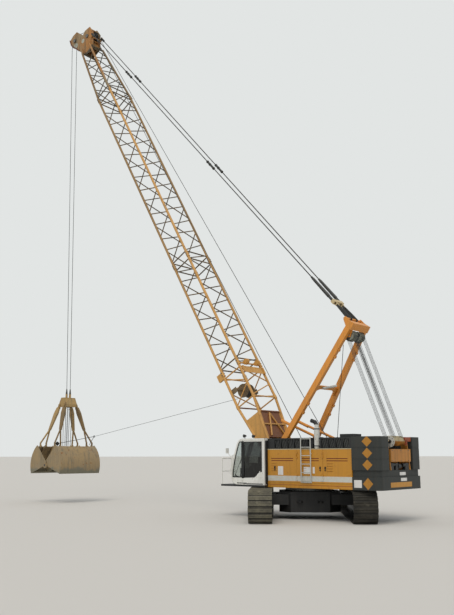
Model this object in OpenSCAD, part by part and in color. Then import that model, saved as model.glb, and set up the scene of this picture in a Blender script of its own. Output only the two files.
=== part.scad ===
// Crawler crane with a lattice boom and a two-jaw rope grab, in millimetres.
// +X is forward along the boom, +Y is the cab side, +Z is up. The crawlers stand on z = 0.
// All pieces are drawn about the slewing axis, then moved along X by the same amount,
// so that the origin lies below the middle of the whole machine.

/* [Undercarriage] */
// Overall length of a crawler
track_len = 6750; // [6000:50:7500]
// Distance between the middles of the crawlers
gauge = 3640; // [3400:10:4000]
// Width of a track shoe
shoe_w = 840; // [700:10:900]
// Overall height of a crawler
track_h = 1130; // [1130:10:1150]
// Thickness of the shoe plates
shoe_t = 55; // [40:5:70]
// Width of the chain inside the shoes
chain_w = 260; // [220:10:280]
// Depth of the chain inside the shoes
chain_t = 80; // [60:5:90]
// Shoes on each crawler
shoe_count = 64; // [56:1:72]
// Bottom rollers on each crawler
roller_count = 9; // [7:1:10]
// Radius of a bottom roller
roller_r = 110; // [90:5:120]
// Turn of the crawlers against the upper structure
slew_angle = -53; // [-60:1:-45]
// Outer radius of the slewing ring
ring_r = 900; // [850:10:950]

/* [Upper structure] */
// Height of the deck's underside above the ground
deck_z = 1160; // [1160:5:1200]
// Width over the engine house
upper_w = 3010; // [2900:10:3100]
// Front end of the engine house
house_front = 830; // [780:10:860]
// Rear end of the engine house
house_rear = -2900; // [-3000:10:-2850]
// Top of the side panels
house_top = 2560; // [2500:10:2620]
// Top of the machinery cover
hood_top = 2980; // [2900:10:3050]
// Thickness of the side panels and doors
panel_t = 45; // [35:5:50]
// Split between the front door and the ladder panel
split_front = -530; // [-600:10:-450]
// Split between the ladder panel and the rear door
split_rear = -1680; // [-1750:10:-1600]
// Rear end of the counterweight
tail_x = -4030; // [-4200:10:-4000]
// Inner side of the stacked counterweight slabs
stack_in = 860; // [820:10:900]

/* [Cab] */
// Rear wall of the cab
cab_rear = 880; // [870:5:900]
// Length of the cab at its floor
cab_len = 1660; // [1600:10:1700]
// Inner side wall of the cab
cab_in = 845; // [840:1:850]
// Width of the cab
cab_w = 820; // [780:10:900]
// Floor of the cab
cab_z = 1230; // [1210:5:1260]
// Height of the cab
cab_h = 1760; // [1700:10:1800]
// Thickness of the cab's walls
cab_t = 45; // [35:5:50]

/* [Boom] */
// Angle of the boom above the ground
boom_angle = 60; // [58:1:62]
// Foot pin of the boom, ahead of the slewing axis
pivot_x = 1050; // [1030:10:1070]
// Foot pin of the boom above the ground
pivot_z = 1910; // [1880:10:1940]
// Length from the foot pin to the head sheaves
boom_len = 27000; // [26600:100:27400]
// Width between the chords' centres
boom_w = 1460; // [1420:10:1480]
// Depth between the chords' centres
boom_d = 960; // [900:10:1000]
// Diameter of the chords
chord_d = 110; // [90:5:120]
// Diameter of the lacing tubes
lace_d = 50; // [40:5:60]
// Radius of the head sheaves
sheave_r = 400; // [360:10:420]

/* [Gantry] */
// Foot pin of the gantry along X
gantry_x = 620; // [600:10:640]
// Foot pin of the gantry above the ground
gantry_z = 2550; // [2530:10:2570]
// Half the distance between the gantry's feet
gantry_y = 1080; // [1070:5:1090]
// Half the distance between the legs' tops
gantry_top_y = 520; // [500:10:540]
// Length from the foot pin to the head sheaves
gantry_len = 5560; // [5400:20:5700]
// Angle of the gantry above the ground, seen from the left
gantry_angle = 123.2; // [122:0.2:124]
// Width of the legs, across the machine
leg_s = 160; // [140:5:165]
// Depth of the legs
leg_d = 220; // [180:10:240]

/* [Grab] */
// Width of the jaws
jaw_w = 2600; // [2400:20:2700]
// Lip of a jaw from the jaws' hinge
lip_r = 1230; // [1200:10:1300]
// Height of the jaws' hinge above the ground
jaw_z = 1860; // [1800:10:1900]
// Angle that each jaw is open
jaw_open = 70; // [66:1:74]
// Height of the arms' upper pins above the jaws' hinge
arm_rise = 3050; // [2950:10:3150]
// Half the distance between the arms' upper pins
arm_pin_x = 220; // [200:10:240]
// How far the tagline draws the grab back from below the head
grab_pull = 630; // [450:10:700]

/* [Hidden] */
$fn = 32;

orange = "#d8841c";
dark_orange = "#8f3d1a";
sand = "#b98040";
lacing = "#5c5a45";
off_white = "#dedfd6";
black = "#1c1d1d";
dark_grey = "#3b4040";
mud_grey = "#6f6a60";
steel = "#8a8c8a";
glass_tint = "#5a6b70";

// Small clearances: between resting faces, round a pin, and between moving faces
seat_gap = 0.3;
pin_gap = 0.8;
side_gap = 10;

half_w = upper_w / 2;
track_r = track_h / 2;
wheel_x = (track_len - track_h) / 2;
chain_in = track_r - shoe_t - chain_t;
deck_t = 140;
deck_top = deck_z + deck_t;

// A point of the boom, s along it and n to its upper side
function boom_pt(s, n) = [pivot_x + s * cos(boom_angle) - n * sin(boom_angle),
  pivot_z + s * sin(boom_angle) + n * cos(boom_angle)];

// Forward sheaves of the boom head, along and across the boom from the head's axle
head_fwd_s = 850;
head_fwd_n = -590;
head_fwd = boom_pt(boom_len + head_fwd_s, head_fwd_n);

// The grab ropes lie in the grooves of the forward sheaves, leave them at their front and slant
// back to the grab
rope_d = 26;
groove_d = 35;
rope_x = head_fwd[0] + sheave_r - groove_d + rope_d / 2 + 1;
grab_x = rope_x - grab_pull;

// The open jaw's round back reaches furthest forward, and the counterweight furthest back
x_shift = -(tail_x + grab_x + lip_r) / 2;

// Moves a piece from the slewing axis to the machine's own origin
module place() {
  translate([x_shift, 0, 0]) children();
}

// The crawlers' own directions: X runs along them
module under() {
  place() rotate([0, 0, slew_angle]) children();
}

// The boom's own directions: X runs up it and Z points to its upper side
module along_boom() {
  place() translate([pivot_x, 0, pivot_z]) rotate([0, -boom_angle, 0]) children();
}

// The gantry's own directions: X runs up its legs and Z points to its rear
module along_gantry() {
  place() translate([gantry_x, 0, gantry_z]) rotate([0, -gantry_angle, 0]) children();
}

module both_sides() {
  children();
  mirror([0, 1, 0]) children();
}

// A box given by its low and high corners
module block(low, high) {
  translate(low) cube(high - low);
}

// A round bar between two points
module bar(a, b, d) {
  v = b - a;
  translate(a) rotate([0, acos(v[2] / norm(v)), atan2(v[1], v[0])]) cylinder(d = d, h = norm(v));
}

// A cylinder across the machine, from y = a to y = b
module cross_pin(x, z, a, b, r) {
  translate([x, a, z]) rotate([-90, 0, 0]) cylinder(r = r, h = b - a);
}

// A plate in the XZ plane from y = a to y = b, with its outline as children
module side_plate(a, b) {
  translate([0, b, 0]) rotate([90, 0, 0]) linear_extrude(b - a) children();
}

// A sheave with a grooved rim, turned about Y
module sheave(x, y, z, r, w) {
  translate([x, y, z]) rotate([-90, 0, 0]) rotate_extrude()
    polygon([[30, -w / 2], [r, -w / 2], [r - groove_d, -rope_d / 2 - 1],
      [r - groove_d, rope_d / 2 + 1], [r, w / 2], [30, w / 2]]);
}

// UNDERCARRIAGE

// A point on the crawler's loop: distance s along it, at a height off its outer radius
run_len = 2 * wheel_x;
arc_len = PI * track_r;
loop_len = 2 * (run_len + arc_len);
function loop_point(s, off) =
  let (r = track_r - off)
  s < run_len ? [-wheel_x + s, track_r - r]
  : s < run_len + arc_len
    ? let (a = -90 + 180 * (s - run_len) / arc_len) [wheel_x + r * cos(a), track_r + r * sin(a)]
  : s < 2 * run_len + arc_len ? [wheel_x - (s - run_len - arc_len), track_r + r]
  : let (a = 90 + 180 * (s - 2 * run_len - arc_len) / arc_len)
    [-wheel_x + r * cos(a), track_r + r * sin(a)];

shoe_pitch = loop_len / shoe_count;
shoe_gap = 26;
shoe_edge = 14;

module track_loop() {
  side_plate(-shoe_w / 2, shoe_w / 2) difference() {
    polygon([for (i = [0 : shoe_count - 1], p = [
      [shoe_gap / 2, shoe_t - 12], [shoe_gap / 2 + shoe_edge, 0],
      [shoe_pitch - shoe_gap / 2 - shoe_edge, 0], [shoe_pitch - shoe_gap / 2, shoe_t - 12]])
      loop_point(i * shoe_pitch + p[0], p[1])]);
    stadium(track_r - shoe_t);
  }
  side_plate(-chain_w / 2, chain_w / 2) difference() {
    stadium(track_r - shoe_t + 4);
    stadium(chain_in);
  }
}

module stadium(r) {
  translate([-wheel_x, track_r - r]) square([2 * wheel_x, 2 * r]);
  for (x = [-wheel_x, wheel_x]) translate([x, track_r]) circle(r, $fn = 48);
}

module track_left() {
  color(mud_grey) under() translate([0, gauge / 2, 0]) track_loop();
}

module track_right() {
  color(mud_grey) under() translate([0, -gauge / 2, 0]) track_loop();
}

frame_half = 165;
frame_t = 30;
frame_top = 720;
axle_z = chain_t + shoe_t + seat_gap + roller_r;

module track_frame() {
  both_sides() side_plate(frame_half - frame_t, frame_half) {
    translate([-wheel_x + 420, axle_z - 40]) square([2 * wheel_x - 840, frame_top - axle_z + 40]);
    translate([-wheel_x, track_r - 150]) square([2 * wheel_x, 280]);
    for (x = [-wheel_x, wheel_x]) translate([x, track_r]) circle(150);
  }
  block([-wheel_x + 520, -frame_half + 1, frame_top - 60], [wheel_x - 520, frame_half - 1, frame_top]);
  for (x = [-1500, 1500]) block([x - 20, -frame_half + 1, axle_z + roller_r + 60],
    [x + 20, frame_half - 1, frame_top - 1]);
}

module track_frames() {
  color(black) under() both_sides() translate([0, gauge / 2, 0]) track_frame();
}

sprocket_teeth = 13;
module sprocket() {
  r = chain_in - seat_gap;
  rotate([-90, 0, 0]) translate([0, 0, -90]) linear_extrude(180) polygon([
    for (i = [0 : sprocket_teeth - 1], p = [[-9, r - 60], [-5, r], [5, r], [9, r - 60]])
      let (a = 360 * i / sprocket_teeth + p[0]) [p[1] * cos(a), p[1] * sin(a)]]);
  cross_pin(0, 0, -frame_half + frame_t + seat_gap, frame_half - frame_t - seat_gap, 120);
}

module drive_sprockets() {
  color(dark_grey) under() both_sides() translate([wheel_x, gauge / 2, track_r]) sprocket();
}

module idlers() {
  color(dark_grey) under() both_sides() translate([-wheel_x, gauge / 2, track_r]) {
    rotate([-90, 0, 0]) rotate_extrude($fn = 48) polygon([[0, -90], [90, -90], [110, -45],
      [chain_in - 70, -45], [chain_in - 50, -90], [chain_in - seat_gap, -90], [chain_in - seat_gap, 90],
      [chain_in - 50, 90], [chain_in - 70, 45], [110, 45], [90, 90], [0, 90]]);
    cross_pin(0, 0, -frame_half + frame_t + seat_gap, frame_half - frame_t - seat_gap, 70);
  }
}

module rollers() {
  reach = wheel_x - 620;
  inner = frame_half - frame_t - seat_gap;
  color(dark_grey) under() both_sides() translate([0, gauge / 2, 0]) {
    for (i = [0 : roller_count - 1]) let (x = -reach + 2 * reach * i / (roller_count - 1)) {
      cross_pin(x, axle_z, -110, 110, roller_r);
      cross_pin(x, axle_z, -inner, inner, 35);
    }
    for (x = [-1100, 1100]) {
      cross_pin(x, 2 * track_r - shoe_t - chain_t - seat_gap - 70, -100, 100, 70);
      block([x - 40, -40, frame_top + seat_gap], [x + 40, 40, 2 * track_r - shoe_t - chain_t - 72]);
    }
  }
}

// The travel gears sit inside the crawlers, on the frames' inner plates
module travel_drives() {
  color(black) under() both_sides() {
    y = gauge / 2 - frame_half - seat_gap;
    cross_pin(wheel_x, track_r, y - 120, y, 260);
    cross_pin(wheel_x, track_r, y - 420, y - 118, 190);
  }
}

carbody_half = 1150;
carbody_low = 260;
carbody_top = 1010;
arm_half = 260;

module octagon(half, corner) {
  polygon([[half, half - corner], [half - corner, half], [corner - half, half],
    [-half, half - corner], [-half, corner - half], [corner - half, -half],
    [half - corner, -half], [half, corner - half]]);
}

// The carbody's four arms meet the inner plates of the track frames
module carbody() {
  arm_end = gauge / 2 - frame_half - seat_gap;
  color(black) under() {
    translate([0, 0, carbody_low]) linear_extrude(carbody_top - carbody_low)
      octagon(carbody_half, 420);
    for (x = [-820, 820]) block([x - arm_half, -arm_end, 530],
      [x + arm_half, arm_end, carbody_top - 100]);
    translate([0, 0, carbody_top - 1]) cylinder(r = ring_r + 60, h = deck_z - 130 - carbody_top + 1);
    for (x = [-1, 1], y = [-eye_y, eye_y]) lashing_eye(x, y);
  }
}

eye_y = 380;
eye_t = 50;
eye_r = 40;
eye_out = 90;
eye_z = 640;
module lashing_eye(x, y) {
  hole = x * (carbody_half + eye_out);
  translate([0, 0, eye_z - eye_t / 2]) linear_extrude(eye_t) difference() {
    union() {
      translate([hole, y]) circle(85);
      polygon([[x * (carbody_half - 1), y - 110], [hole, y - 85], [hole, y + 85],
        [x * (carbody_half - 1), y + 110]]);
    }
    translate([hole, y]) circle(eye_r);
  }
}

ring_h = 120;
module slewing_ring() {
  color(steel) under() translate([0, 0, deck_z - 130 + seat_gap]) difference() {
    cylinder(r = ring_r, h = ring_h, $fn = 120);
    translate([0, 0, -1]) cylinder(r = ring_r - 190, h = ring_h + 2, $fn = 120);
  }
}

// UPPER STRUCTURE

// The boom's foot lugs turn between an inner and an outer plate of the main frame
lug_half = 50;
web_t = 60;
web_in = boom_w / 2 - lug_half - side_gap - web_t;
outer_web = boom_w / 2 + lug_half + side_gap;
outer_web_t = 30;
web_top = deck_top + 450;
foot_pin_r = 60;
nose_x = pivot_x + 450;
ring_top = deck_z - 130 + seat_gap + ring_h;
gantry_lug = 40;
gantry_pin_r = 45;

module main_frame() {
  edge = half_w - panel_t - seat_gap;
  color(dark_grey) place() {
    block([house_rear, -edge, deck_z], [house_front, edge, deck_top]);
    block([house_front - 1, -outer_web - outer_web_t, deck_z], [nose_x, outer_web + outer_web_t, deck_top]);
    translate([0, 0, ring_top + seat_gap]) cylinder(r = ring_r - 60, h = deck_z - ring_top, $fn = 64);
    both_sides() {
      side_plate(web_in, web_in + web_t) foot_bracket(house_rear);
      side_plate(outer_web, outer_web + outer_web_t) foot_bracket(pivot_x - 600);
      cross_pin(pivot_x, pivot_z, web_in + 1, outer_web + outer_web_t - 1, foot_pin_r);
      for (y = [gantry_y - gantry_lug - side_gap - 40, gantry_y + gantry_lug + side_gap])
        side_plate(y, y + 40) gantry_bracket();
      cross_pin(gantry_x, gantry_z, gantry_y - gantry_lug - side_gap - 30,
        gantry_y + gantry_lug + side_gap + 30, gantry_pin_r);
    }
  }
}

module foot_bracket(rear) {
  polygon([[rear, deck_z + 20], [nose_x, deck_z + 20], [nose_x, deck_top + 200],
    [pivot_x + 180, pivot_z + 60], [pivot_x + 90, pivot_z + 150], [pivot_x - 90, pivot_z + 150],
    [pivot_x - 180, pivot_z + 60], [pivot_x - 420, web_top], [rear, web_top]]);
}

module gantry_bracket() {
  polygon([[gantry_x - 380, deck_top - 1], [house_front - 10, deck_top - 1],
    [gantry_x + 110, gantry_z], [gantry_x + 60, gantry_z + 95], [gantry_x - 60, gantry_z + 95],
    [gantry_x - 110, gantry_z]]);
}

// Side walls: a sill and posts with two doors and a fixed panel between them
sill_top = deck_top + 45;
post_w = 50;
door_gap = 6;
wall_in = half_w - panel_t;

module house_frame() {
  color(orange) place() both_sides() {
    block([house_rear, wall_in, deck_z], [house_front, half_w, sill_top]);
    block([house_rear, wall_in - door_gap - post_w, deck_top + seat_gap], [house_front, wall_in + 1, sill_top]);
    for (x = [house_rear, split_rear - post_w / 2, split_front - post_w / 2, house_front - post_w])
      block([x, wall_in - door_gap - post_w, sill_top - 1], [x + post_w, wall_in - door_gap, house_top]);
    block([house_rear, wall_in - door_gap - post_w, house_top - post_w],
      [house_front, wall_in - door_gap, house_top]);
    block([house_front - 25, cover_in, deck_top + seat_gap], [house_front, wall_in - door_gap - 1, house_top]);
  }
}

// A wall panel or door leaf on the left side, from x = a to x = b, with its louvres
module leaf(a, b) {
  difference() {
    block([a, wall_in, sill_top + door_gap], [b, half_w, house_top - door_gap]);
    for (z = [house_top - 330, house_top - 410])
      block([a + 160, half_w - 20, z - 15], [b - 160, half_w + 1, z + 15]);
    for (i = [0 : 3]) block([b - 430, half_w - 12, sill_top + 420 + 90 * i],
      [b - 170, half_w + 1, sill_top + 445 + 90 * i]);
  }
}

// The ladder panels are fixed to the posts on both sides
module house_panels() {
  color(orange) place() both_sides() {
    leaf(split_rear + door_gap / 2, split_front - door_gap / 2);
    hinge_knuckles(front_hinge_x, half_w, -1, sill_top, house_top);
    hinge_knuckles(rear_hinge_x, half_w, 1, sill_top, house_top);
    for (x = [split_rear + 4, split_front - post_w / 2])
      block([x, wall_in - door_gap + seat_gap, sill_top + 100],
        [x + post_w / 2 - 4, wall_in + 1, house_top - 100]);
  }
}

// Each door turns about an upright pin outside its face, near its edge
hinge_in = 10;
hinge_out = 18;
hinge_r = 12;
barrel_h = 120;
knuckle_h = 50;
function hinge_zs(low, high) = [low + 150, high - 150 - barrel_h];

// The door's own barrels on its outer face at y
module hinge_barrels(x, y, low, high) {
  for (z = hinge_zs(low, high)) {
    translate([x, y + hinge_out, z]) cylinder(r = hinge_r, h = barrel_h);
    block([x - 8, y - 1, z], [x + 8, y + hinge_out, z + barrel_h]);
  }
}

// The fixed knuckles above and below them, with their feet on the side that dir gives
module hinge_knuckles(x, y, dir, low, high) {
  for (z0 = hinge_zs(low, high), z = [z0 - seat_gap - knuckle_h, z0 + barrel_h + seat_gap]) {
    translate([x, y + hinge_out, z]) cylinder(r = hinge_r, h = knuckle_h);
    block([min(x, x + 60 * dir), y + 6, z], [max(x, x + 60 * dir), y + hinge_out + 6, z + knuckle_h]);
    block([min(x + 30 * dir, x + 60 * dir), y - 1, z],
      [max(x + 30 * dir, x + 60 * dir), y + hinge_out, z + knuckle_h]);
  }
}

front_hinge_x = split_front + door_gap / 2 + hinge_in;
rear_hinge_x = split_rear - door_gap / 2 - hinge_in;
module front_door() {
  leaf(split_front + door_gap / 2, house_front - door_gap);
  hinge_barrels(front_hinge_x, half_w, sill_top, house_top);
}

module rear_door() {
  leaf(house_rear + door_gap, split_rear - door_gap / 2);
  hinge_barrels(rear_hinge_x, half_w, sill_top, house_top);
}

module front_left_door() {
  color(orange) place() front_door();
}

module rear_left_door() {
  color(orange) place() rear_door();
}

module front_right_door() {
  color(orange) place() mirror([0, 1, 0]) front_door();
}

module rear_right_door() {
  color(orange) place() mirror([0, 1, 0]) rear_door();
}

// The cover is full width over the engine and leaves the winches open in front of it
cover_split = -1500;
cover_in = gantry_y + gantry_lug + side_gap + 60;
cover_pitch = 305;
exhaust_x = -1380;
exhaust_y = half_w - 115;
module machinery_cover() {
  top = hood_top;
  low = house_top + seat_gap;
  color(black) place() difference() {
    union() {
      block([house_rear, -half_w + 8, low], [cover_split, half_w - 8, top]);
      both_sides() block([cover_split - 1, cover_in, low], [house_front, half_w - 8, top]);
      block([house_rear + 60, 700, top - 1], [house_rear + 620, 1250, top + 120]);
    }
    both_sides() for (x = [house_rear + 90 : cover_pitch : house_front - cover_pitch])
      block([x, half_w - 60, low + 50], [x + cover_pitch - 45, half_w, top - 50]);
    block([exhaust_x - 150, exhaust_y - 150, low - 1], [exhaust_x + 150, half_w, top + 1]);
  }
}

module exhaust() {
  color(steel) place() translate([exhaust_x, exhaust_y, house_top + seat_gap]) {
    cylinder(r = 80, h = 70);
    translate([0, 0, 60]) cylinder(r = 105, h = 720);
    translate([0, 0, 770]) cylinder(r = 80, h = 130);
    bar([-10, 0, 860], [90, 0, 1010], 150);
    bar([60, 0, 985], [240, 0, 1050], 142);
  }
}

module engine() {
  low = web_top + seat_gap;
  color(dark_grey) place() block([house_rear + 120, -850, low], [house_rear + 1200, 850, low + 720]);
}

module fuel_tank() {
  y = outer_web + outer_web_t + 20;
  color(orange) place() difference() {
    block([house_front + 40, -half_w + 20, deck_z + 70 + seat_gap], [nose_x + 500, -y, pivot_z + 20]);
    block([nose_x + 300, -half_w, pivot_z - 200], [nose_x + 501, -y + 1, pivot_z + 21]);
  }
}

// Two winches for the grab's ropes, on plates that stand on the long webs
drum_r = 250;
flange_r = 330;
drum_y = 400;
drums = [[60, 2190, web_top + 520], [-1000, 2260, hood_top + 40]];
module winches() {
  color(black) place() for (d = drums) {
    cross_pin(d[0], d[1], -drum_y, drum_y, drum_r);
    for (y = [-drum_y - 30, drum_y]) cross_pin(d[0], d[1], y, y + 30, flange_r);
    cross_pin(d[0], d[1], -web_in - 10, web_in + 10, 90);
    both_sides() side_plate(web_in, web_in + 40) polygon([[d[0] - 320, web_top + seat_gap],
      [d[0] + 320, web_top + seat_gap], [d[0] + 110, d[2]], [d[0] - 110, d[2]]]);
  }
}

// Struts that stop the boom when it is steep, pinned beside the rear winch's plates
stop_y = web_in - 65;
stop_low = [drums[1][0], hood_top - 40];
stop_high = [850, 3700];
module backstops() {
  color(orange) place() both_sides() {
    bar([stop_low[0], stop_y, stop_low[1]], [stop_high[0], stop_y, stop_high[1]], 100);
    bar([stop_high[0] - 500, stop_y, stop_high[1] - 225], [stop_high[0], stop_y, stop_high[1]], 120);
    cross_pin(stop_low[0], stop_low[1], stop_y - 40, web_in - seat_gap, 70);
  }
}

// Counterweight: a base slab across the tail, a set-back band, and slabs stacked at both sides
base_top = 1600;
band_top = 1830;
slab_h = 393;
slab_count = 3;
cw_front = house_rear - seat_gap;
corner_r = 180;

// Plan of a slab with round rear corners, between y = a and y = b
module slab_plan(rear, a, b, r_a, r_b) {
  difference() {
    translate([rear, a]) square([cw_front - rear, b - a]);
    if (r_a > 0) round_cut(rear, a, r_a, 1);
    if (r_b > 0) round_cut(rear, b, r_b, -1);
  }
}

module round_cut(x, y, r, side) {
  difference() {
    translate([x - 1, side > 0 ? y - 1 : y - r]) square([r + 1, r + 1]);
    translate([x + r, y + side * r]) circle(r, $fn = 48);
  }
}

module counterweight_base() {
  color(dark_grey) place() {
    translate([0, 0, deck_z - 8]) linear_extrude(base_top - deck_z + 8)
      slab_plan(tail_x, -half_w, half_w, corner_r, corner_r);
    translate([0, 0, base_top - 1]) linear_extrude(band_top - base_top + 1)
      slab_plan(tail_x + 50, -half_w + 50, half_w - 50, corner_r, corner_r);
  }
}

module slab_stack() {
  for (i = [0 : slab_count - 1]) translate([0, 0, band_top + seat_gap + i * slab_h])
    linear_extrude(slab_h - 12) slab_plan(tail_x, stack_in, half_w, 30, corner_r);
  translate([0, 0, band_top + seat_gap + 1]) linear_extrude(slab_count * slab_h - 30)
    slab_plan(tail_x + 12, stack_in + 12, half_w - 12, 30, corner_r);
}

module counterweight_left() {
  color(dark_grey) place() slab_stack();
}

module counterweight_right() {
  color(dark_grey) place() mirror([0, 1, 0]) slab_stack();
}

// The boom hoist winch stands between the stacks, with the tackle's lower sheaves behind it
hoist_x = -3400;
hoist_z = 2720;
tackle_x = -3800;
tackle_z = 2850;
tackle_r = 180;
tackle_y = 640;
module boom_hoist_winch() {
  color(steel) place() {
    cross_pin(hoist_x, hoist_z, -400, 330, 150);
    cross_pin(hoist_x, hoist_z, 300, 340, 220);
    cross_pin(hoist_x, hoist_z, -420, -380, 220);
    cross_pin(hoist_x, hoist_z, -640, 520, 60);
    cross_pin(hoist_x, hoist_z, -640, -460, 120);
  }
}

module winch_frame() {
  color(orange) place() {
    difference() {
      for (y = [400, -455]) side_plate(y, y + 30) polygon([[hoist_x - 260, band_top + seat_gap],
        [hoist_x + 260, band_top + seat_gap], [hoist_x + 100, hoist_z + 110],
        [hoist_x - 100, hoist_z + 110]]);
      cross_pin(hoist_x, hoist_z, -700, 700, 60 + pin_gap);
    }
    both_sides() side_plate(tackle_y + 40, tackle_y + 80) polygon([
      [tackle_x - 200, band_top + seat_gap], [tackle_x + 260, band_top + seat_gap],
      [tackle_x + 90, tackle_z + 90], [tackle_x - 90, tackle_z + 90]]);
    block([tail_x + 10, -tackle_y - 80, 2120], [tail_x + 40, tackle_y + 80, 2560]);
    block([tail_x + 10, -tackle_y - 80, 2120], [tackle_x, -tackle_y - 41, 2560]);
    block([tail_x + 10, tackle_y + 41, 2120], [tackle_x, tackle_y + 80, 2560]);
  }
}

// Falls of the luffing tackle: two groups, each of this many sheaves
fall_ys = [for (side = [-1, 1], i = [0 : 3]) side * (150 + 80 * i)];
module tackle_block() {
  color(steel) place() {
    for (y = fall_ys) sheave(tackle_x, y, tackle_z, tackle_r, 60);
    cross_pin(tackle_x, tackle_z, -tackle_y - 40 + seat_gap, tackle_y + 40 - seat_gap, 45);
  }
}

// CAB

cab_out = cab_in + cab_w;
brow_z = cab_h - 60;
// The bowed front: height above the floor, and how far the front lies back there
nose = [[0, 260], [40, 130], [130, 40], [270, 0], [520, 5], [770, 50], [1060, 125],
  [cab_h - 400, 220], [cab_h - 190, 300], [cab_h - 80, 380], [cab_h - 20, 470], [cab_h, 580]];
function front_x(z) = cab_len - lookup(z, nose);

// Side outline of the cab, from its rear wall at x = 0 and its floor at z = 0
module cab_outline() {
  polygon(concat([[0, 0]], [for (p = nose) [cab_len - p[1], p[0]]], [[0, cab_h]]));
}

// Heights at which the panes follow the front, between a sill and a head
function pane_zs(sill, head) = concat([sill], [for (p = nose) if (p[0] > sill + 60 && p[0] < head - 60) p[0]],
  [head]);

door_a = 60;
door_b = 1080;
door_low = 60;
door_high = cab_h - 70;
cab_hinge_x = door_b - door_gap - hinge_in;
pane_t = 8;
module in_cab() {
  place() translate([cab_rear, 0, cab_z]) children();
}

module right_window() {
  polygon([[120, 820], [front_x(820) - 160, 820], [front_x(door_high) - 130, door_high - 40],
    [120, door_high - 40]]);
}

module quarter_window() {
  polygon(concat([[door_b + 25, 270]], [for (z = pane_zs(270, door_high - 40)) [front_x(z) - 80, z]],
    [[door_b + 25, door_high - 40]]));
}

module cab() {
  color(off_white) in_cab() hinge_knuckles(cab_hinge_x, cab_out, 1, door_low, door_high);
  color(off_white) in_cab() difference() {
    side_plate(cab_in, cab_out) cab_outline();
    side_plate(cab_in + cab_t, cab_out - cab_t) offset(delta = -cab_t) cab_outline();
    side_plate(cab_out - cab_t - 1, cab_out + 1)
      translate([door_a, door_low]) square([door_b - door_a, door_high - door_low]);
    side_plate(cab_out - cab_t - 1, cab_out + 1) quarter_window();
    side_plate(cab_in - 1, cab_in + cab_t + 1) right_window();
    side_plate(cab_in + 80, cab_out - 80) polygon(concat([[cab_len + 100, 310]],
      [for (z = pane_zs(310, brow_z - 80)) [front_x(z) - 110, z]], [[cab_len, brow_z - 80]]));
    block([-1, cab_in + 110, 900], [cab_t + 1, cab_out - 110, cab_h - 160]);
    block([300, cab_in + 130, cab_h - cab_t - 1], [900, cab_out - 130, cab_h + 1]);
  }
}

module windscreen() {
  zs = pane_zs(310 + seat_gap, brow_z - 80 - seat_gap);
  n = len(zs);
  polygon([for (i = [0 : 2 * n - 1]) i < n ? [front_x(zs[i]) - 15, zs[i]]
    : [front_x(zs[2 * n - 1 - i]) - 15 - pane_t, zs[2 * n - 1 - i]]]);
}

// Each pane sits in the middle of its wall, with a small gap all round
module cab_glass() {
  color(glass_tint) in_cab() {
    side_plate(cab_in + 80 + seat_gap, cab_out - 80 - seat_gap) 
      windscreen();
    side_plate(cab_in + 18, cab_in + 18 + pane_t) offset(delta = -seat_gap) right_window();
    side_plate(cab_out - 26, cab_out - 26 + pane_t) offset(delta = -seat_gap) quarter_window();
    block([18, cab_in + 110 + seat_gap, 900 + seat_gap], [18 + pane_t, cab_out - 110 - seat_gap, cab_h - 160 - seat_gap]);
    block([300 + seat_gap, cab_in + 130 + seat_gap, cab_h - 30],
      [900 - seat_gap, cab_out - 130 - seat_gap, cab_h - 30 + pane_t]);
  }
}

// The door's window sweeps up towards the rear
module door_window() {
  polygon([[door_a + 50, 500], [door_a + 170, 480], [door_a + 250, 430], [door_a + 340, 330],
    [door_a + 430, 280], [door_b - 50, 260], [door_b - 50, door_high - 50], [door_a + 50, door_high - 50]]);
}

module cab_door() {
  color(off_white) in_cab() {
    difference() {
      side_plate(cab_out - cab_t, cab_out) translate([door_a + door_gap, door_low + door_gap])
        square([door_b - door_a - 2 * door_gap, door_high - door_low - 2 * door_gap]);
      side_plate(cab_out - cab_t - 1, cab_out + 1) door_window();
    }
    hinge_barrels(cab_hinge_x, cab_out, door_low, door_high);
    bar([door_a + 130, cab_out + 45, 300], [door_a + 130, cab_out + 45, 520], 24);
    for (z = [310, 510]) bar([door_a + 130, cab_out - 10, z], [door_a + 130, cab_out + 45, z], 20);
  }
}

module cab_door_glass() {
  color(glass_tint) in_cab() side_plate(cab_out - 26, cab_out - 26 + pane_t)
    offset(delta = -seat_gap) door_window();
}

module cab_seat() {
  y = cab_in + cab_w / 2;
  color(black) in_cab() {
    block([420, y - 170, cab_t + seat_gap], [720, y + 170, 330]);
    block([330, y - 240, 329], [820, y + 240, 460]);
    block([330, y - 230, 459], [440, y + 230, 1050]);
    block([340, y - 140, 1049], [420, y + 140, 1260]);
  }
}

module cab_console() {
  y = cab_in + cab_w / 2;
  color(dark_grey) in_cab() {
    for (s = [-1, 1]) {
      block([560, y + s * 305 - 45, cab_t + seat_gap], [900, y + s * 305 + 45, 640]);
      bar([820, y + s * 305, 630], [840, y + s * 305, 820], 36);
    }
    block([cab_len - 430, y - 220, cab_t + seat_gap], [cab_len - 310, y + 220, 620]);
  }
}

// WALKWAYS AND SMALL GEAR

platform_end = 3050;
module walkways() {
  y = outer_web + outer_web_t + seat_gap;
  color(black) place() {
    block([house_front + seat_gap, y, deck_z], [platform_end, cab_out + 20, cab_z - seat_gap]);
    block([house_front + seat_gap, -half_w, deck_z], [nose_x + 500, -y, deck_z + 70]);
  }
}

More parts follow.
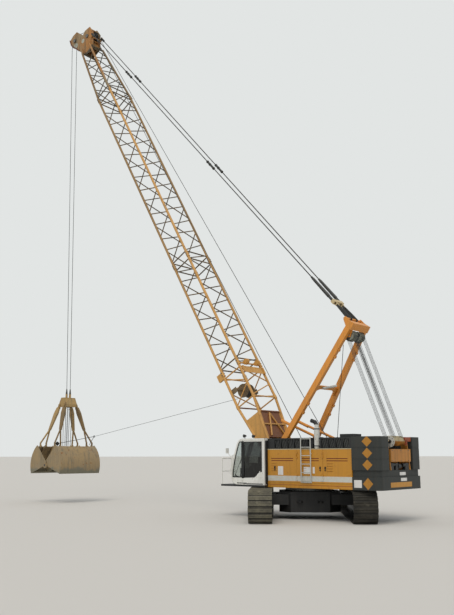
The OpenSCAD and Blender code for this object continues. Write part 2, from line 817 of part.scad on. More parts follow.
rail_d = 34;
module handrails() {
  x = platform_end - 40;
  y = cab_out - 10;
  z = cab_z;
  mirror_x = cab_rear + front_x(960) - 60;
  color(off_white) place() {
    bar([x, y, z], [x, y, z + 1000], rail_d);
    bar([x, cab_in + 40, z], [x, cab_in + 40, z + 1000], rail_d);
    for (h = [500, 1000]) bar([x, cab_in + 40, z + h], [x, y, z + h], rail_d);
    bar([mirror_x, cab_out + seat_gap, z + 960], [mirror_x, cab_out + 60, z + 960], 24);
    bar([mirror_x, cab_out + 50, z + 955], [mirror_x + 200, cab_out + 190, z + 1230], 24);
    block([mirror_x + 185, cab_out + 110, z + 1190], [mirror_x + 215, cab_out + 270, z + 1390]);
  }
}

// The ladder stands off the fixed left panel and reaches the cover's top
ladder_y = half_w + 70;
ladder_xs = [-1200, -770];
rung_count = 6;
module ladder() {
  low = deck_z + 200;
  high = hood_top + 20;
  color(steel) place() {
    for (x = ladder_xs) {
      bar([x, ladder_y, low], [x, ladder_y, high], 40);
      for (z = [low + 240, house_top - 160])
        bar([x, half_w + seat_gap, z], [x, ladder_y, z], 30);
    }
    for (i = [0 : rung_count - 1]) let (z = low + 60 + i * (high - low - 120) / (rung_count - 1))
      bar([ladder_xs[0], ladder_y, z], [ladder_xs[1], ladder_y, z], 30);
  }
}

module work_lamps() {
  color(dark_grey) in_cab() for (y = [cab_in + 130, cab_out - 130])
    translate([front_x(brow_z) - 200, y, cab_h + seat_gap]) {
      cylinder(r = 14, h = 60);
      translate([-50, 0, 105]) rotate([0, 90, 0]) cylinder(r1 = 35, r2 = 65, h = 110);
    }
}

// BOOM

// The four faces' lacing runs in zigzags, from s0 to s1, and tapers with the chords
function lerp(a, b, t) = a + (b - a) * t;
lace_in = 60;

module zigzag(s0, s1, w0, w1, d0, d1, turns, top) {
  n = 2 * turns;
  for (i = [0 : n - 1]) {
    ta = (i + 0) / n;
    tb = (i + 1) / n;
    flip = i % 2 == 0 ? 1 : -1;
    sa = lerp(s0, s1, ta) + lace_in;
    sb = lerp(s0, s1, tb) - lace_in;
    if (top == 0) for (n1 = [-1, 1])
      bar([sa, flip * n1 * lerp(w0, w1, ta) / 2, n1 * lerp(d0, d1, ta) / 2],
        [sb, -flip * n1 * lerp(w0, w1, tb) / 2, n1 * lerp(d0, d1, tb) / 2], lace_d);
    else for (y1 = [-1, 1])
      bar([sa, y1 * lerp(w0, w1, ta) / 2, -flip * y1 * lerp(d0, d1, ta) / 2],
        [sb, y1 * lerp(w0, w1, tb) / 2, flip * y1 * lerp(d0, d1, tb) / 2], lace_d);
  }
}

module chords(s0, s1, w0, w1, d0, d1) {
  for (y = [-1, 1], n = [-1, 1])
    bar([s0, y * w0 / 2, n * d0 / 2], [s1, y * w1 / 2, n * d1 / 2], chord_d);
}

// Tubes across both ends of a section, with a diagonal
module end_frame(s, w, d) {
  for (n = [-1, 1]) bar([s, -w / 2, n * d / 2], [s, w / 2, n * d / 2], lace_d + 10);
  for (y = [-1, 1]) bar([s, y * w / 2, -d / 2], [s, y * w / 2, d / 2], lace_d + 10);
  bar([s, -w / 2, -d / 2], [s, w / 2, d / 2], lace_d);
}

// Round pin housings at a section's ends
joint_len = 120;
module joints(s, w, d, dir) {
  for (y = [-1, 1], n = [-1, 1]) translate([dir > 0 ? s : s - joint_len, y * w / 2, n * d / 2])
    rotate([0, 90, 0]) cylinder(d = chord_d + 36, h = joint_len);
}

foot_end = 4650;
short_end = 10600;
long_end = 22250;
joint_gap = 0.3;
module section(s0, s1, turns) {
  a = s0 + joint_gap;
  chords(a, s1, boom_w, boom_w, boom_d, boom_d);
  end_frame(s0 + 220, boom_w, boom_d);
  end_frame(s1 - 220, boom_w, boom_d);
  zigzag(s0 + 220, s1 - 220, boom_w, boom_w, boom_d, boom_d, turns, 0);
  zigzag(s0 + 220, s1 - 220, boom_w, boom_w, boom_d, boom_d, turns, 1);
  joints(a, boom_w, boom_d, 1);
  joints(s1, boom_w, boom_d, -1);
}

taper_end = 3000;
foot_d = 180;
web_start = 1200;
web_end = 2300;
sleeve = 70;
function foot_half(s) = lerp(foot_d, boom_d, s / taper_end) / 2;

module boom_foot() {
  top = foot_half(web_end);
  color(sand) along_boom() difference() {
    union() {
      chords(0, taper_end - 40, boom_w, boom_w, foot_d, lerp(foot_d, boom_d, (taper_end - 40) / taper_end));
      chords(taper_end + 40, foot_end, boom_w, boom_w, boom_d, boom_d);
      for (y = [-1, 1], n = [-1, 1]) translate([taper_end - sleeve, y * boom_w / 2, n * boom_d / 2])
        rotate([0, 90, 0]) cylinder(d = chord_d + 20, h = 2 * sleeve);
      joints(foot_end, boom_w, boom_d, -1);
      both_sides() {
        side_plate(boom_w / 2 - 15, boom_w / 2 + 15) polygon([[30, 12 - foot_half(30)],
          [web_end, 12 - top], [web_end, top - 12], [30, foot_half(30) - 12]]);
        cross_pin(0, 0, boom_w / 2 - lug_half, boom_w / 2 + lug_half, 150);
      }
      for (n = [-1, 1]) {
        side_plate(7 - boom_w / 2, boom_w / 2 - 7) polygon([[web_start, n * (foot_half(web_start) - 30)],
          [web_end - 10, n * (top - 30)], [web_end - 10, n * (top - 8)],
          [web_start, n * (foot_half(web_start) - 8)]]);
        bar([web_end + 20, -boom_w / 2, n * top], [web_end + 20, boom_w / 2, n * top], lace_d + 30);
      }
      end_frame(taper_end, boom_w, boom_d);
      end_frame(foot_end - 220, boom_w, boom_d);
      zigzag(taper_end, foot_end - 220, boom_w, boom_w, boom_d, boom_d, 1, 0);
      zigzag(taper_end, foot_end - 220, boom_w, boom_w, boom_d, boom_d, 1, 1);
    }
    cross_pin(0, 0, -boom_w, boom_w, foot_pin_r + pin_gap);
  }
}

module boom_short_section() {
  color(sand) along_boom() section(foot_end, short_end, 4);
}

module boom_long_section() {
  color(sand) along_boom() section(short_end, long_end, 7);
}

head_s = boom_len - 700;
head_w = 940;
head_d = 720;
plate_y = 240;
head_up_s = boom_len + 200;
head_up_n = 320;
pendant_s = boom_len - 150;
pendant_n = 720;
pendant_y = 340;
pendant_pin_r = 30;

// Side outline of the head's plates, in the boom's directions: an upper and a forward block
module head_outline() {
  polygon([[head_s - 60, -head_d / 2 - 10], [head_s - 60, head_d / 2 + 10],
    [pendant_s - 110, pendant_n - 60], [pendant_s + 180, 800], [boom_len + 550, 730],
    [boom_len + 680, 310], [boom_len + 580, 70], [boom_len + 1240, -230],
    [boom_len + 1290, -560], [boom_len + 1230, -900], [boom_len + 830, -950],
    [boom_len - 60, -600]]);
}

// Plates that close the boom's upper and lower faces and narrow from the chords to the blocks
module head_gusset(n, end) {
  translate([0, 0, n - 12]) linear_extrude(24) polygon([[head_s - 60, -head_w / 2],
    [end, -plate_y - 30], [end, plate_y + 30], [head_s - 60, head_w / 2]]);
}

module boom_head() {
  a = long_end + joint_gap;
  bar_s = pendant_s - 60;
  bar_n = pendant_n - 130;
  color(sand) along_boom() difference() {
    union() {
      chords(a + 20, head_s, boom_w, head_w, boom_d, head_d);
      joints(a, boom_w, boom_d, 1);
      end_frame(a + 220, boom_w, boom_d);
      zigzag(a + 220, head_s - 60, boom_w, head_w, boom_d, head_d, 3, 0);
      zigzag(a + 220, head_s - 60, boom_w, head_w, boom_d, head_d, 3, 1);
      both_sides() side_plate(plate_y, plate_y + 30) head_outline();
      head_gusset(head_d / 2, head_up_s - sheave_r - 60);
      head_gusset(-head_d / 2, boom_len - 100);
      for (n = [-1, 1]) bar([head_s, -head_w / 2, n * head_d * 0.45],
        [head_s, head_w / 2, n * head_d * 0.45], 90);
      both_sides() side_plate(pendant_y - 15, pendant_y + 15)
        translate([pendant_s, pendant_n]) polygon([[-130, -190], [60, -190], [80, 60], [-80, 60]]);
      bar([bar_s, -pendant_y - 20, bar_n], [bar_s, pendant_y + 20, bar_n], 90);
    }
    cross_pin(pendant_s, pendant_n, -pendant_y - 60, pendant_y + 60, pendant_pin_r + pin_gap);
    cross_pin(head_up_s, head_up_n, -head_w, head_w, 46);
    cross_pin(boom_len + head_fwd_s, head_fwd_n, -head_w, head_w, 46);
  }
}

module head_sheaves() {
  color(dark_grey) along_boom() {
    for (y = [-160, -60, 60, 160]) sheave(head_up_s, y, head_up_n, sheave_r, 60);
    cross_pin(head_up_s, head_up_n, -plate_y - 70, plate_y + 70, 45);
  }
}

rope_y = 160;
module grab_sheaves() {
  color(dark_grey) along_boom() {
    for (y = [-rope_y, rope_y]) sheave(boom_len + head_fwd_s, y, head_fwd_n, sheave_r, 60);
    cross_pin(boom_len + head_fwd_s, head_fwd_n, -plate_y - 70, plate_y + 70, 45);
  }
}

tag_s = 3730;
tag_n = -240;
// Its brackets stand on the lower chords, just inside the side lacing
tag_out = boom_w / 2 - lace_d / 2 - 5;
tag_seat = -boom_d / 2 + sqrt(pow(chord_d / 2, 2) - pow(boom_w / 2 - tag_out, 2)) + seat_gap;
module tagline_winch() {
  color(steel) along_boom() {
    cross_pin(tag_s, tag_n, -180, 180, 220);
    for (y = [-210, 180]) cross_pin(tag_s, tag_n, y, y + 30, 290);
    cross_pin(tag_s, tag_n, -tag_out, tag_out, 50);
    both_sides() block([tag_s - 110, tag_out - 25, tag_seat], [tag_s + 110, tag_out, tag_n + 70]);
  }
}

// PENDANTS AND GANTRY

pend_top = boom_pt(pendant_s, pendant_n);
pend_low = [-1590, 8165];
pend_len = norm(pend_top - pend_low);
pend_angle = atan2(pend_top[1] - pend_low[1], pend_top[0] - pend_low[0]);
yoke_y = 250;
ear_y = 200;
ear_half = 20;
ear_gap = 0.5;
link_t = 20;
link_len = 950;

// Along the pendants: X runs up to the boom's head from the yoke
module along_pendants() {
  place() translate([pend_low[0], 0, pend_low[1]]) rotate([0, -pend_angle, 0]) children();
}

// A point on the left pendant, x up from the yoke
function pendant_pt(x) = [x, lerp(yoke_y, pendant_y, x / pend_len), 0];
socket_xs = [9500, 18200];

module pendants() {
  color(black) along_pendants() {
    both_sides() {
      bar(pendant_pt(60), pendant_pt(pend_len - 240), 44);
      bar(pendant_pt(31), pendant_pt(420), 110);
      bar(pendant_pt(380), pendant_pt(900), 80);
      for (x = socket_xs) bar(pendant_pt(x), pendant_pt(x + 550), 100);
      block([pend_len - 300, pendant_y - 41, -50], [pend_len - 120, pendant_y + 41, 50]);
      for (y = [pendant_y - 41, pendant_y + 21]) side_plate(y, y + 20) {
        translate([pend_len - 121, -50]) square([121, 100]);
        translate([pend_len, 0]) circle(50);
      }
      cross_pin(pend_len, 0, pendant_y - 48, pendant_y + 48, pendant_pin_r);
    }
  }
}

// The yoke's ears reach down between the link plates
module pendant_yoke() {
  color(sand) along_pendants() difference() {
    union() {
      both_sides() side_plate(ear_y - ear_half, ear_y + ear_half)
        polygon([[-190, -45], [-190, 45], [1, 75], [1, -75]]);
      block([0, -330, -75], [150, 330, 75]);
    }
    both_sides() translate(pendant_pt(0)) rotate([0, 90, 0]) translate([0, 0, 30]) cylinder(r = 58, h = 200);
  }
}

// The link plates take the yoke's ears between them and hang on the gantry head's pin
link_pin_r = 45;
module gantry_links() {
  color(black) along_pendants() difference() {
    both_sides() for (y = [ear_y - ear_half - ear_gap - link_t, ear_y + ear_half + ear_gap]) side_plate(y, y + link_t) {
      polygon([[-link_len, -75], [-link_len + 300, -70], [-100, -42], [-100, 42],
        [-link_len + 300, 70], [-link_len, 75]]);
      translate([-link_len, 0]) circle(75);
    }
    cross_pin(-link_len, 0, -400, 400, link_pin_r + seat_gap);
  }
}

leg_lean = atan2(gantry_y - gantry_top_y, gantry_len);
brace_s = 2830;
head_in = 170;
module gantry_legs() {
  color(orange) along_gantry() {
    difference() {
      both_sides() {
        translate([0, gantry_y, 0]) rotate([0, 0, -leg_lean])
          block([140, -leg_s / 2, -leg_d / 2], [gantry_len, leg_s / 2, leg_d / 2]);
        block([0, gantry_y - gantry_lug, -70], [160, gantry_y + gantry_lug, 70]);
        cross_pin(0, 0, gantry_y - gantry_lug, gantry_y + gantry_lug, 90);
      }
      cross_pin(0, 0, -1500, 1500, gantry_pin_r + pin_gap);
      block([gantry_len - head_in, -2000, -500], [gantry_len + 500, 2000, 500]);
    }
    y = lerp(gantry_y, gantry_top_y, brace_s / gantry_len);
    block([brace_s - 70, -y, -30], [brace_s + 70, y, 30]);
    both_sides() translate([0, 0, -30]) linear_extrude(60) polygon([[brace_s - 69, y - 400],
      [brace_s - 110, y - 270], [brace_s - 190, y - 150], [brace_s - 330, y - 50],
      [brace_s - 330, y + 20], [brace_s + 60, y], [brace_s + 60, y - 400]]);
  }
}

module gantry_head() {
  pin = [link_pin[0], link_pin[1]];
  color(orange) along_gantry() {
    block([gantry_len - head_in + seat_gap, -gantry_top_y - 95, -leg_d / 2],
      [gantry_len + 110, gantry_top_y + 95, 160]);
    both_sides() {
      side_plate(head_plate_y, head_plate_y + 40) polygon([[gantry_len - 150, 0],
        [gantry_len - 150, -leg_d / 2 - 20], [pin[0] - 90, pin[1] - 30], [pin[0] - 20, pin[1] - 80],
        [pin[0] + 70, pin[1] - 30], [gantry_len + 100, 0]]);
      difference() {
        side_plate(fall_plate_y, fall_plate_y + 30) polygon([[gantry_len - head_in + 1, -60],
          [gantry_len - head_in + 1, 150], [fall_s - 40, fall_n + 90], [fall_s - 90, fall_n],
          [fall_s - 40, fall_n - 90]]);
        cross_pin(fall_s, fall_n, -600, 600, 40 + pin_gap);
      }
    }
    cross_pin(pin[0], pin[1], -head_plate_y - 40, head_plate_y + 40, link_pin_r);
  }
}

// The sheaves hang below the head's box, between the legs
fall_s = gantry_len - 400;
fall_n = 110;
fall_plate_y = 424;
head_plate_y = 520;
// The links' pin in the gantry's directions
link_pin = let (p = pend_low - link_len * [cos(pend_angle), sin(pend_angle)] - [gantry_x, gantry_z])
  [p[0] * cos(gantry_angle) + p[1] * sin(gantry_angle),
   -p[0] * sin(gantry_angle) + p[1] * cos(gantry_angle)];

module gantry_sheaves() {
  color(steel) along_gantry() {
    for (y = fall_ys) sheave(fall_s, y, fall_n, 190, 60);
    cross_pin(fall_s, fall_n, -fall_plate_y - 36, fall_plate_y + 36, 40);
  }
}

// GRAB

arm_pin_z = jaw_z + arm_rise;
head_top = arm_pin_z + 400;
rope_low = head_top + 450;
socket_y = 110;
module grab_ropes() {
  color(steel) place() for (y = [-1, 1])
    bar([grab_x, y * socket_y, rope_low + 0.7], [rope_x, y * rope_y, head_fwd[1]], rope_d);
}

module at_grab() {
  place() translate([grab_x, 0, 0]) children();
}

arm_y = 380;
arm_eye_half = 20;
arm_pin_r = 35;
lug_t = 40;
module grab_head() {
  z = arm_pin_z;
  a = arm_y - arm_eye_half - 6 - lug_t;
  color(sand) at_grab() {
    both_sides() {
      side_plate(a, a + lug_t) polygon([[-arm_pin_x - 80, z - 80], [arm_pin_x + 80, z - 80],
        [arm_pin_x + 80, z + 60], [130, head_top], [-130, head_top], [-arm_pin_x - 80, z + 60]]);
      for (x = [-arm_pin_x, arm_pin_x]) cross_pin(x, z, a + 10, arm_y + arm_eye_half + 25, arm_pin_r);
    }
    block([-150, -a - 1, head_top - 60], [150, a + 1, head_top]);
    for (x = [-1, 1]) side_plate(-a - 1, a + 1) polygon([[x * 130, head_top - 1],
      [x * 114, head_top - 1], [x * (arm_pin_x + 62), z + 60], [x * (arm_pin_x + 62), z - 80],
      [x * (arm_pin_x + 78), z - 80], [x * (arm_pin_x + 78), z + 60]]);
    for (y = [-150, 0, 150]) sheave(0, y, z + 80, 190, 50);
    cross_pin(0, z + 80, -a - 1, a + 1, 40);
    for (y = [-socket_y, socket_y]) translate([0, y, head_top - 1]) {
      cylinder(r = 55, h = 180);
      translate([0, 0, 170]) cylinder(r1 = 55, r2 = 25, h = rope_low - head_top - 169);
    }
  }
}

// The jaw's ear from the hinge when the jaw is closed, and where that brings it when open
ear = [1100, -235];
function turned(p, a) = [p[0] * cos(a) - p[1] * sin(a), p[0] * sin(a) + p[1] * cos(a)];
ear_open = turned(ear, jaw_open);
ear_side = jaw_w / 2 - 290;
ear_plate = 35;
ear_spread = 160;
fork_t = 34;
fork_gap = 0.5;

// Length of an arm's leaning plate that lies above its fork
fork_len = 850;

// The two front arms hang from the head and splay out to the jaw's ears. Each is a plate that
// narrows downwards and parts into two legs, one at each side of a pair of ears
module arm_pair() {
  top = [arm_pin_x, arm_y, arm_pin_z];
  low = [ear_open[0], ear_side, jaw_z + ear_open[1]];
  v = (low - top) / norm(low - top);
  lean = atan2(low[1] - top[1], top[2] - low[2]);
  fall = (top[2] - low[2]) / cos(lean);
  slope = (low[0] - top[0]) / fall;
  knee = fall - fork_len;
  leg_y = ear_spread + fork_gap + fork_t / 2;
  start = top + (knee - 50) / fall * (low - top);
  color(sand) at_grab() both_sides() difference() {
    union() {
      side_plate(arm_y - arm_eye_half, arm_y + arm_eye_half) {
        translate([top[0], top[2]]) circle(75);
        translate([top[0], top[2]]) polygon([[-75, 0], [75, 0], [150, -200], [-70, -200]]);
      }
      translate(top) rotate([lean, 0, 0]) side_plate(-45, 45) polygon([[110 * slope - 90, -110],
        [110 * slope + 90, -110], [420 * slope + 150, -420], [knee * slope + 65, -knee],
        [knee * slope - 65, -knee], [420 * slope - 150, -420]]);
      for (side = [-1, 1]) {
        y = ear_side + side * leg_y;
        bar(start, [low[0], y, low[2] + 150], 80);
        side_plate(y - fork_t / 2, y + fork_t / 2) {
          translate([low[0], low[2]]) circle(60);
          translate([low[0] - 50, low[2]]) square([100, 190]);
        }
      }
    }
    cross_pin(top[0], top[2], arm_y - 100, arm_y + 100, arm_pin_r + pin_gap);
  }
}

module grab_arms_front() {
  arm_pair();
}

module grab_arms_rear() {
  place() translate([grab_x, 0, 0]) mirror([1, 0, 0]) translate([-grab_x - x_shift, 0, 0]) arm_pair();
}

jaw_pin_r = 55;
block_half = 260;
module grab_block() {
  color(dark_grey) at_grab() {
    cross_pin(0, jaw_z, -jaw_w / 2 - 20, jaw_w / 2 + 20, jaw_pin_r);
    difference() {
      block([-170, -block_half, jaw_z - 120], [170, block_half, jaw_z + 330]);
      block([-171, -block_half + 50, jaw_z + 90], [171, block_half - 50, jaw_z + 331]);
    }
    for (y = [-120, 0, 120]) sheave(0, y, jaw_z + 240, 150, 50);
    cross_pin(0, jaw_z + 240, -block_half + 49, block_half - 49, 35);
  }
}

back_t = 35;
back_end = -20;
// A jaw drawn closed, its hinge at the origin; outer is the outer face of its side plates
module jaw_shape(outer, web) {
  plate_t = 30;
  difference() {
    union() {
      both_sides() {
        side_plate(outer - plate_t, outer) jaw_side(lip_r);
        side_plate(web, web + plate_t) jaw_side(lip_r - 10);
        cross_pin(0, 0, outer - plate_t, outer + 10, 130);
        for (y = [ear_side - ear_spread, ear_side + ear_spread - ear_plate])
          side_plate(y, y + ear_plate) {
            translate(ear) circle(58);
            polygon([turned([lip_r - 20, 0], back_end - 22), turned([lip_r - 20, 0], back_end),
              ear + [45, 20], ear + [-50, -20]]);
          }
      }
      difference() {
        side_plate(-outer, outer) difference() {
          intersection() {
            circle(lip_r, $fn = 96);
            polygon([[0, 0], turned([3000, 0], -89.7), [3000, -3000], turned([3000, 0], back_end)]);
          }
          circle(lip_r - back_t, $fn = 96);
        }
      }
      translate([0, -outer, 0]) rotate([-90, 0, 0]) linear_extrude(2 * outer)
        polygon([[5, lip_r - 130], [70, lip_r - 130], [70, lip_r - 10], [5, lip_r - 3]]);
    }
    cross_pin(0, 0, -jaw_w, jaw_w, jaw_pin_r + pin_gap);
  }
}

// Outline of a jaw's side plate when closed
module jaw_side(r) {
  intersection() {
    circle(r, $fn = 96);
    polygon([[5, 60], [5, -3000], [3000, -3000], turned([3000, 0], back_end), ear + [-250, 40], [120, 130]]);
  }
  circle(130);
}

module grab_jaw_front() {
  color(sand) at_grab() translate([0, 0, jaw_z]) rotate([0, -jaw_open, 0])
    jaw_shape(jaw_w / 2, block_half + 50);
}

module grab_jaw_rear() {
  color(sand) at_grab() mirror([1, 0, 0]) translate([0, 0, jaw_z]) rotate([0, -jaw_open, 0])
    jaw_shape(jaw_w / 2 - 50, block_half + 10);
}

carbody();
track_frames();
track_left();
track_right();
drive_sprockets();
idlers();
rollers();
travel_drives();
slewing_ring();
main_frame();
house_frame();
house_panels();
front_left_door();
rear_left_door();
front_right_door();
rear_right_door();
machinery_cover();
exhaust();
engine();
fuel_tank();
winches();
boom_hoist_winch();
winch_frame();
tackle_block();
counterweight_base();
counterweight_left();
counterweight_right();
cab();
cab_glass();
cab_seat();
cab_console();
cab_door();
cab_door_glass();
ladder();
walkways();
handrails();
work_lamps();
backstops();
boom_foot();
boom_short_section();
boom_long_section();
boom_head();
head_sheaves();
grab_sheaves();
tagline_winch();
pendants();
pendant_yoke();
gantry_legs();
gantry_head();
gantry_sheaves();
gantry_links();
grab_ropes();
grab_head();
grab_arms_front();
grab_arms_rear();
grab_block();
grab_jaw_front();
grab_jaw_rear();
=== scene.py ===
"""A crawler crane with a lattice boom and a two-jaw rope grab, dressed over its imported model."""
import math

import bmesh
import bpy
from mathutils import Matrix, Vector


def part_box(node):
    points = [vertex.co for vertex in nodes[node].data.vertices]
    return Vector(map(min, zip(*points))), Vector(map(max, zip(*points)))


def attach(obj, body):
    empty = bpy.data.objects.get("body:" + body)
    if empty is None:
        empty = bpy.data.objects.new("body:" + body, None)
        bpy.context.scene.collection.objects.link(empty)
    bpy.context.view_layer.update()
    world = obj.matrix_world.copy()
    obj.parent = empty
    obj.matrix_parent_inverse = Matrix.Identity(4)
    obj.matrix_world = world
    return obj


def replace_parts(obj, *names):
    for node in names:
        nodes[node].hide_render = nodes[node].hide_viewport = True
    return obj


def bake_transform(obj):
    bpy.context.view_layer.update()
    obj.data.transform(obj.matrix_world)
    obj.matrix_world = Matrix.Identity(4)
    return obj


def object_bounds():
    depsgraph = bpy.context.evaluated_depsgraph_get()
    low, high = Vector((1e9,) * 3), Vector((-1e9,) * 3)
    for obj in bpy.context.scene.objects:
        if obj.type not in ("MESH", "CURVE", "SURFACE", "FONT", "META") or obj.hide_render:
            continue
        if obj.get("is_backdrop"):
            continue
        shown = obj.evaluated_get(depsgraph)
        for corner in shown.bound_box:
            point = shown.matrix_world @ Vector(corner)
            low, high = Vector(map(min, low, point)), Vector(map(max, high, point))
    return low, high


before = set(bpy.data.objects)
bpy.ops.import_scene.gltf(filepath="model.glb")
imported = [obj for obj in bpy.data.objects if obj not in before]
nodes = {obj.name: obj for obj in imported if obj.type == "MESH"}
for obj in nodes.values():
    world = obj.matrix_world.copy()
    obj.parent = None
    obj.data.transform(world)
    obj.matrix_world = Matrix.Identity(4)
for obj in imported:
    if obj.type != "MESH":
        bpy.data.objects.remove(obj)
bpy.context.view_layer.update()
scene = bpy.context.scene
scene.view_settings.view_transform = "Standard"

# CAMERA
# An onlooker's eye on the left of the machine and behind it, looking up at the boom.
# All its distances are from the slewing axis, which the slewing ring gives.
ring_low, ring_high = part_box("slewing_ring")
slew_x = (ring_low.x + ring_high.x) / 2
eye = Vector((slew_x - 17.615, 25.166, 2.374))
forward = Vector((0.6431, -0.7423, 0.1881)).normalized()
right = Vector((-0.7556, -0.6550, -0.0012))
right = (right - right.project(forward)).normalized()
up = right.cross(forward)
focal_px = 768.06
photo_h = 615

camera_data = bpy.data.cameras.new("camera")
camera_data.sensor_fit = "VERTICAL"
camera_data.sensor_height = 24
camera_data.lens = focal_px * camera_data.sensor_height / photo_h
camera = bpy.data.objects.new("camera", camera_data)
camera.matrix_world = Matrix.Translation(eye) @ Matrix((right, up, -forward)).transposed().to_4x4()
scene.collection.objects.link(camera)
scene.camera = camera

# LIGHT
# An overcast sky: even light from all round and a weak, wide sun behind the onlooker.
# The sky that the camera, gloss and glass see is a plain pale grey.


def srgb(code):
    """The linear colour of an sRGB hex code such as #d8841c."""
    parts = [int(code[i:i + 2], 16) / 255 for i in (1, 3, 5)]
    return tuple(p / 12.92 if p <= 0.04045 else ((p + 0.055) / 1.055) ** 2.4 for p in parts) + (1.0,)


def add(tree, kind, inputs=None, to=None, **settings):
    """Adds one shader node with its settings, sets or links its inputs, and links it to a socket."""
    made = tree.nodes.new("ShaderNode" + kind)
    for name, value in settings.items():
        setattr(made, name, value)
    for name, value in (inputs or {}).items():
        if isinstance(value, bpy.types.NodeSocket):
            tree.links.new(value, made.inputs[name])
        else:
            made.inputs[name].default_value = value
    if to:
        tree.links.new(made.outputs[0], to)
    return made


sky_pale, sky_light, sky_strength = srgb("#e2e5e4"), srgb("#eef1f4"), 0.66
sun_colour, sun_strength, sun_wide = srgb("#fff6ea"), 1.35, math.radians(35)
sun_way = Vector((0.35, -0.62, -1.0))

world = bpy.data.worlds.new("overcast_sky")
scene.world = world
world.use_nodes = True
tree = world.node_tree
tree.nodes.clear()
rays = add(tree, "LightPath").outputs
seen = rays["Is Camera Ray"]
for ray in ("Is Glossy Ray", "Is Transmission Ray"):
    seen = add(tree, "Math", {0: seen, 1: rays[ray]}, operation="MAXIMUM").outputs[0]
lit = add(tree, "Background", {"Color": sky_light, "Strength": sky_strength})
shown = add(tree, "Background", {"Color": sky_pale, "Strength": 1.0})
both = add(tree, "MixShader", {0: seen, 1: lit.outputs[0], 2: shown.outputs[0]})
add(tree, "OutputWorld", {"Surface": both.outputs[0]})

sun_data = bpy.data.lights.new("sun", "SUN")
sun_data.energy = sun_strength
sun_data.angle = sun_wide
sun_data.color = sun_colour[:3]
sun = bpy.data.objects.new("sun", sun_data)
sun.rotation_euler = sun_way.to_track_quat("-Z", "Y").to_euler()
scene.collection.objects.link(sun)

# FLOOR
# A plain pale yard of concrete, wide enough to reach the horizon.
# It is no part of the crane, and only takes its shadow.


def material(name, paint, roughness, others=None):
    """A new node material, with its shader's values set, and its Object coordinates."""
    made = bpy.data.materials.new(name)
    made.use_nodes = True
    shader = made.node_tree.nodes["Principled BSDF"]
    for socket, value in {"Base Color": srgb(paint), "Roughness": roughness, **(others or {})}.items():
        shader.inputs[socket].default_value = value
    place = add(made.node_tree, "TexCoord").outputs["Object"]
    return made, made.node_tree, shader, place


floor_half = 900
floor_mat, tree, shader, place = material("pale_concrete_floor", "#cfcdc8", 0.95)
shape = bmesh.new()
bmesh.ops.create_grid(shape, x_segments=1, y_segments=1, size=floor_half)
floor_mesh = bpy.data.meshes.new("floor")
shape.to_mesh(floor_mesh)
shape.free()
floor_mesh.materials.append(floor_mat)
floor = bpy.data.objects.new("floor", floor_mesh)
scene.collection.objects.link(floor)
floor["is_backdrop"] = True

# CRAWLERS
# Cast steel shoes, each with two ribs, bolted to a chain of links and pins, caked with dried mud.
# The left loop is scuffed and pale, the right one is darkened with painted shade. The links show dark in the gaps,
# with mud and painted shade.


def stain(tree, vector, scale, low, high, amount, detail=6.0):
    """A 0 to amount mask of cloudy stains; scale is patches per metre."""
    cloud = add(tree, "TexNoise", {"Vector": vector, "Scale": scale, "Detail": detail, "Roughness": 0.6})
    return add(tree, "MapRange", {0: cloud.outputs[0], 1: low, 2: high, 3: 0.0, 4: amount}).outputs[0]


def repaint(made, mask, paint):
    """Lays a colour over a finish where the mask is 1."""
    base = made.node_tree.nodes["Principled BSDF"].inputs["Base Color"]
    under = base.links[0].from_socket if base.is_linked else tuple(base.default_value)
    over = add(made.node_tree, "Mix", {0: mask, 6: under, 7: srgb(paint)}, data_type="RGBA")
    made.node_tree.links.new(over.outputs[2], base)


def muddy_steel(name, colours):
    """Cast steel under dried mud, dull and crusty: clods 50 mm wide, thicker in patches of half a metre.
    Colours are the steel's, the mud's, and the mud's where it is damp and where it is dry."""
    steel, mud, dark, pale = colours.split()
    made, tree, shader, place = material(name, steel, 0.93)
    for scale, low, high, amount, detail, tone in (
            (2.2, 0.42, 0.62, 0.9, 8.0, mud), (18.0, 0.5, 0.75, 0.7, 10.0, dark),
            (6.0, 0.58, 0.7, 0.6, 10.0, pale)):
        repaint(made, stain(tree, place, scale, low, high, amount, detail), tone)
    clods = add(tree, "TexNoise", {"Vector": place, "Scale": 22.0, "Detail": 8.0})
    add(tree, "Bump", {"Strength": 0.5, "Distance": 0.02, "Height": clods.outputs[0]}, shader.inputs["Normal"])
    return made


def dress(finish, *names):
    """Gives CAD nodes their finish."""
    for name in names:
        nodes[name].data.materials.clear()
        nodes[name].data.materials.append(finish)


def piece(name, shape, finish, body):
    """Makes a mesh piece from a bmesh, in place; it rides on a body if one is given."""
    mesh = bpy.data.meshes.new(name)
    bmesh.ops.recalc_face_normals(shape, faces=shape.faces)
    shape.to_mesh(mesh)
    shape.free()
    mesh.materials.append(finish)
    made = bpy.data.objects.new(name, mesh)
    scene.collection.objects.link(made)
    if body:
        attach(made, body)
    return made


def rod(shape, start, end, radius, sides, place=None, tip=None):
    """Adds a round bar between two points, moved by place; tip is its radius at the far end."""
    if place:
        start, end = place @ Vector(start), place @ Vector(end)
    way = end - start
    turn = way.to_track_quat("Z", "Y").to_matrix().to_4x4()
    bmesh.ops.create_cone(shape, cap_ends=True, segments=sides, radius1=radius,
                          radius2=radius if tip is None else tip, depth=way.length,
                          matrix=Matrix.Translation((start + end) / 2) @ turn)


def box(shape, low, high, place=None):
    """Adds a box between two corners, moved by place."""
    low, high = Vector(low), Vector(high)
    matrix = Matrix.Translation((low + high) / 2) @ Matrix.Diagonal((*(high - low), 1))
    bmesh.ops.create_cube(shape, size=1, matrix=place @ matrix if place else matrix)
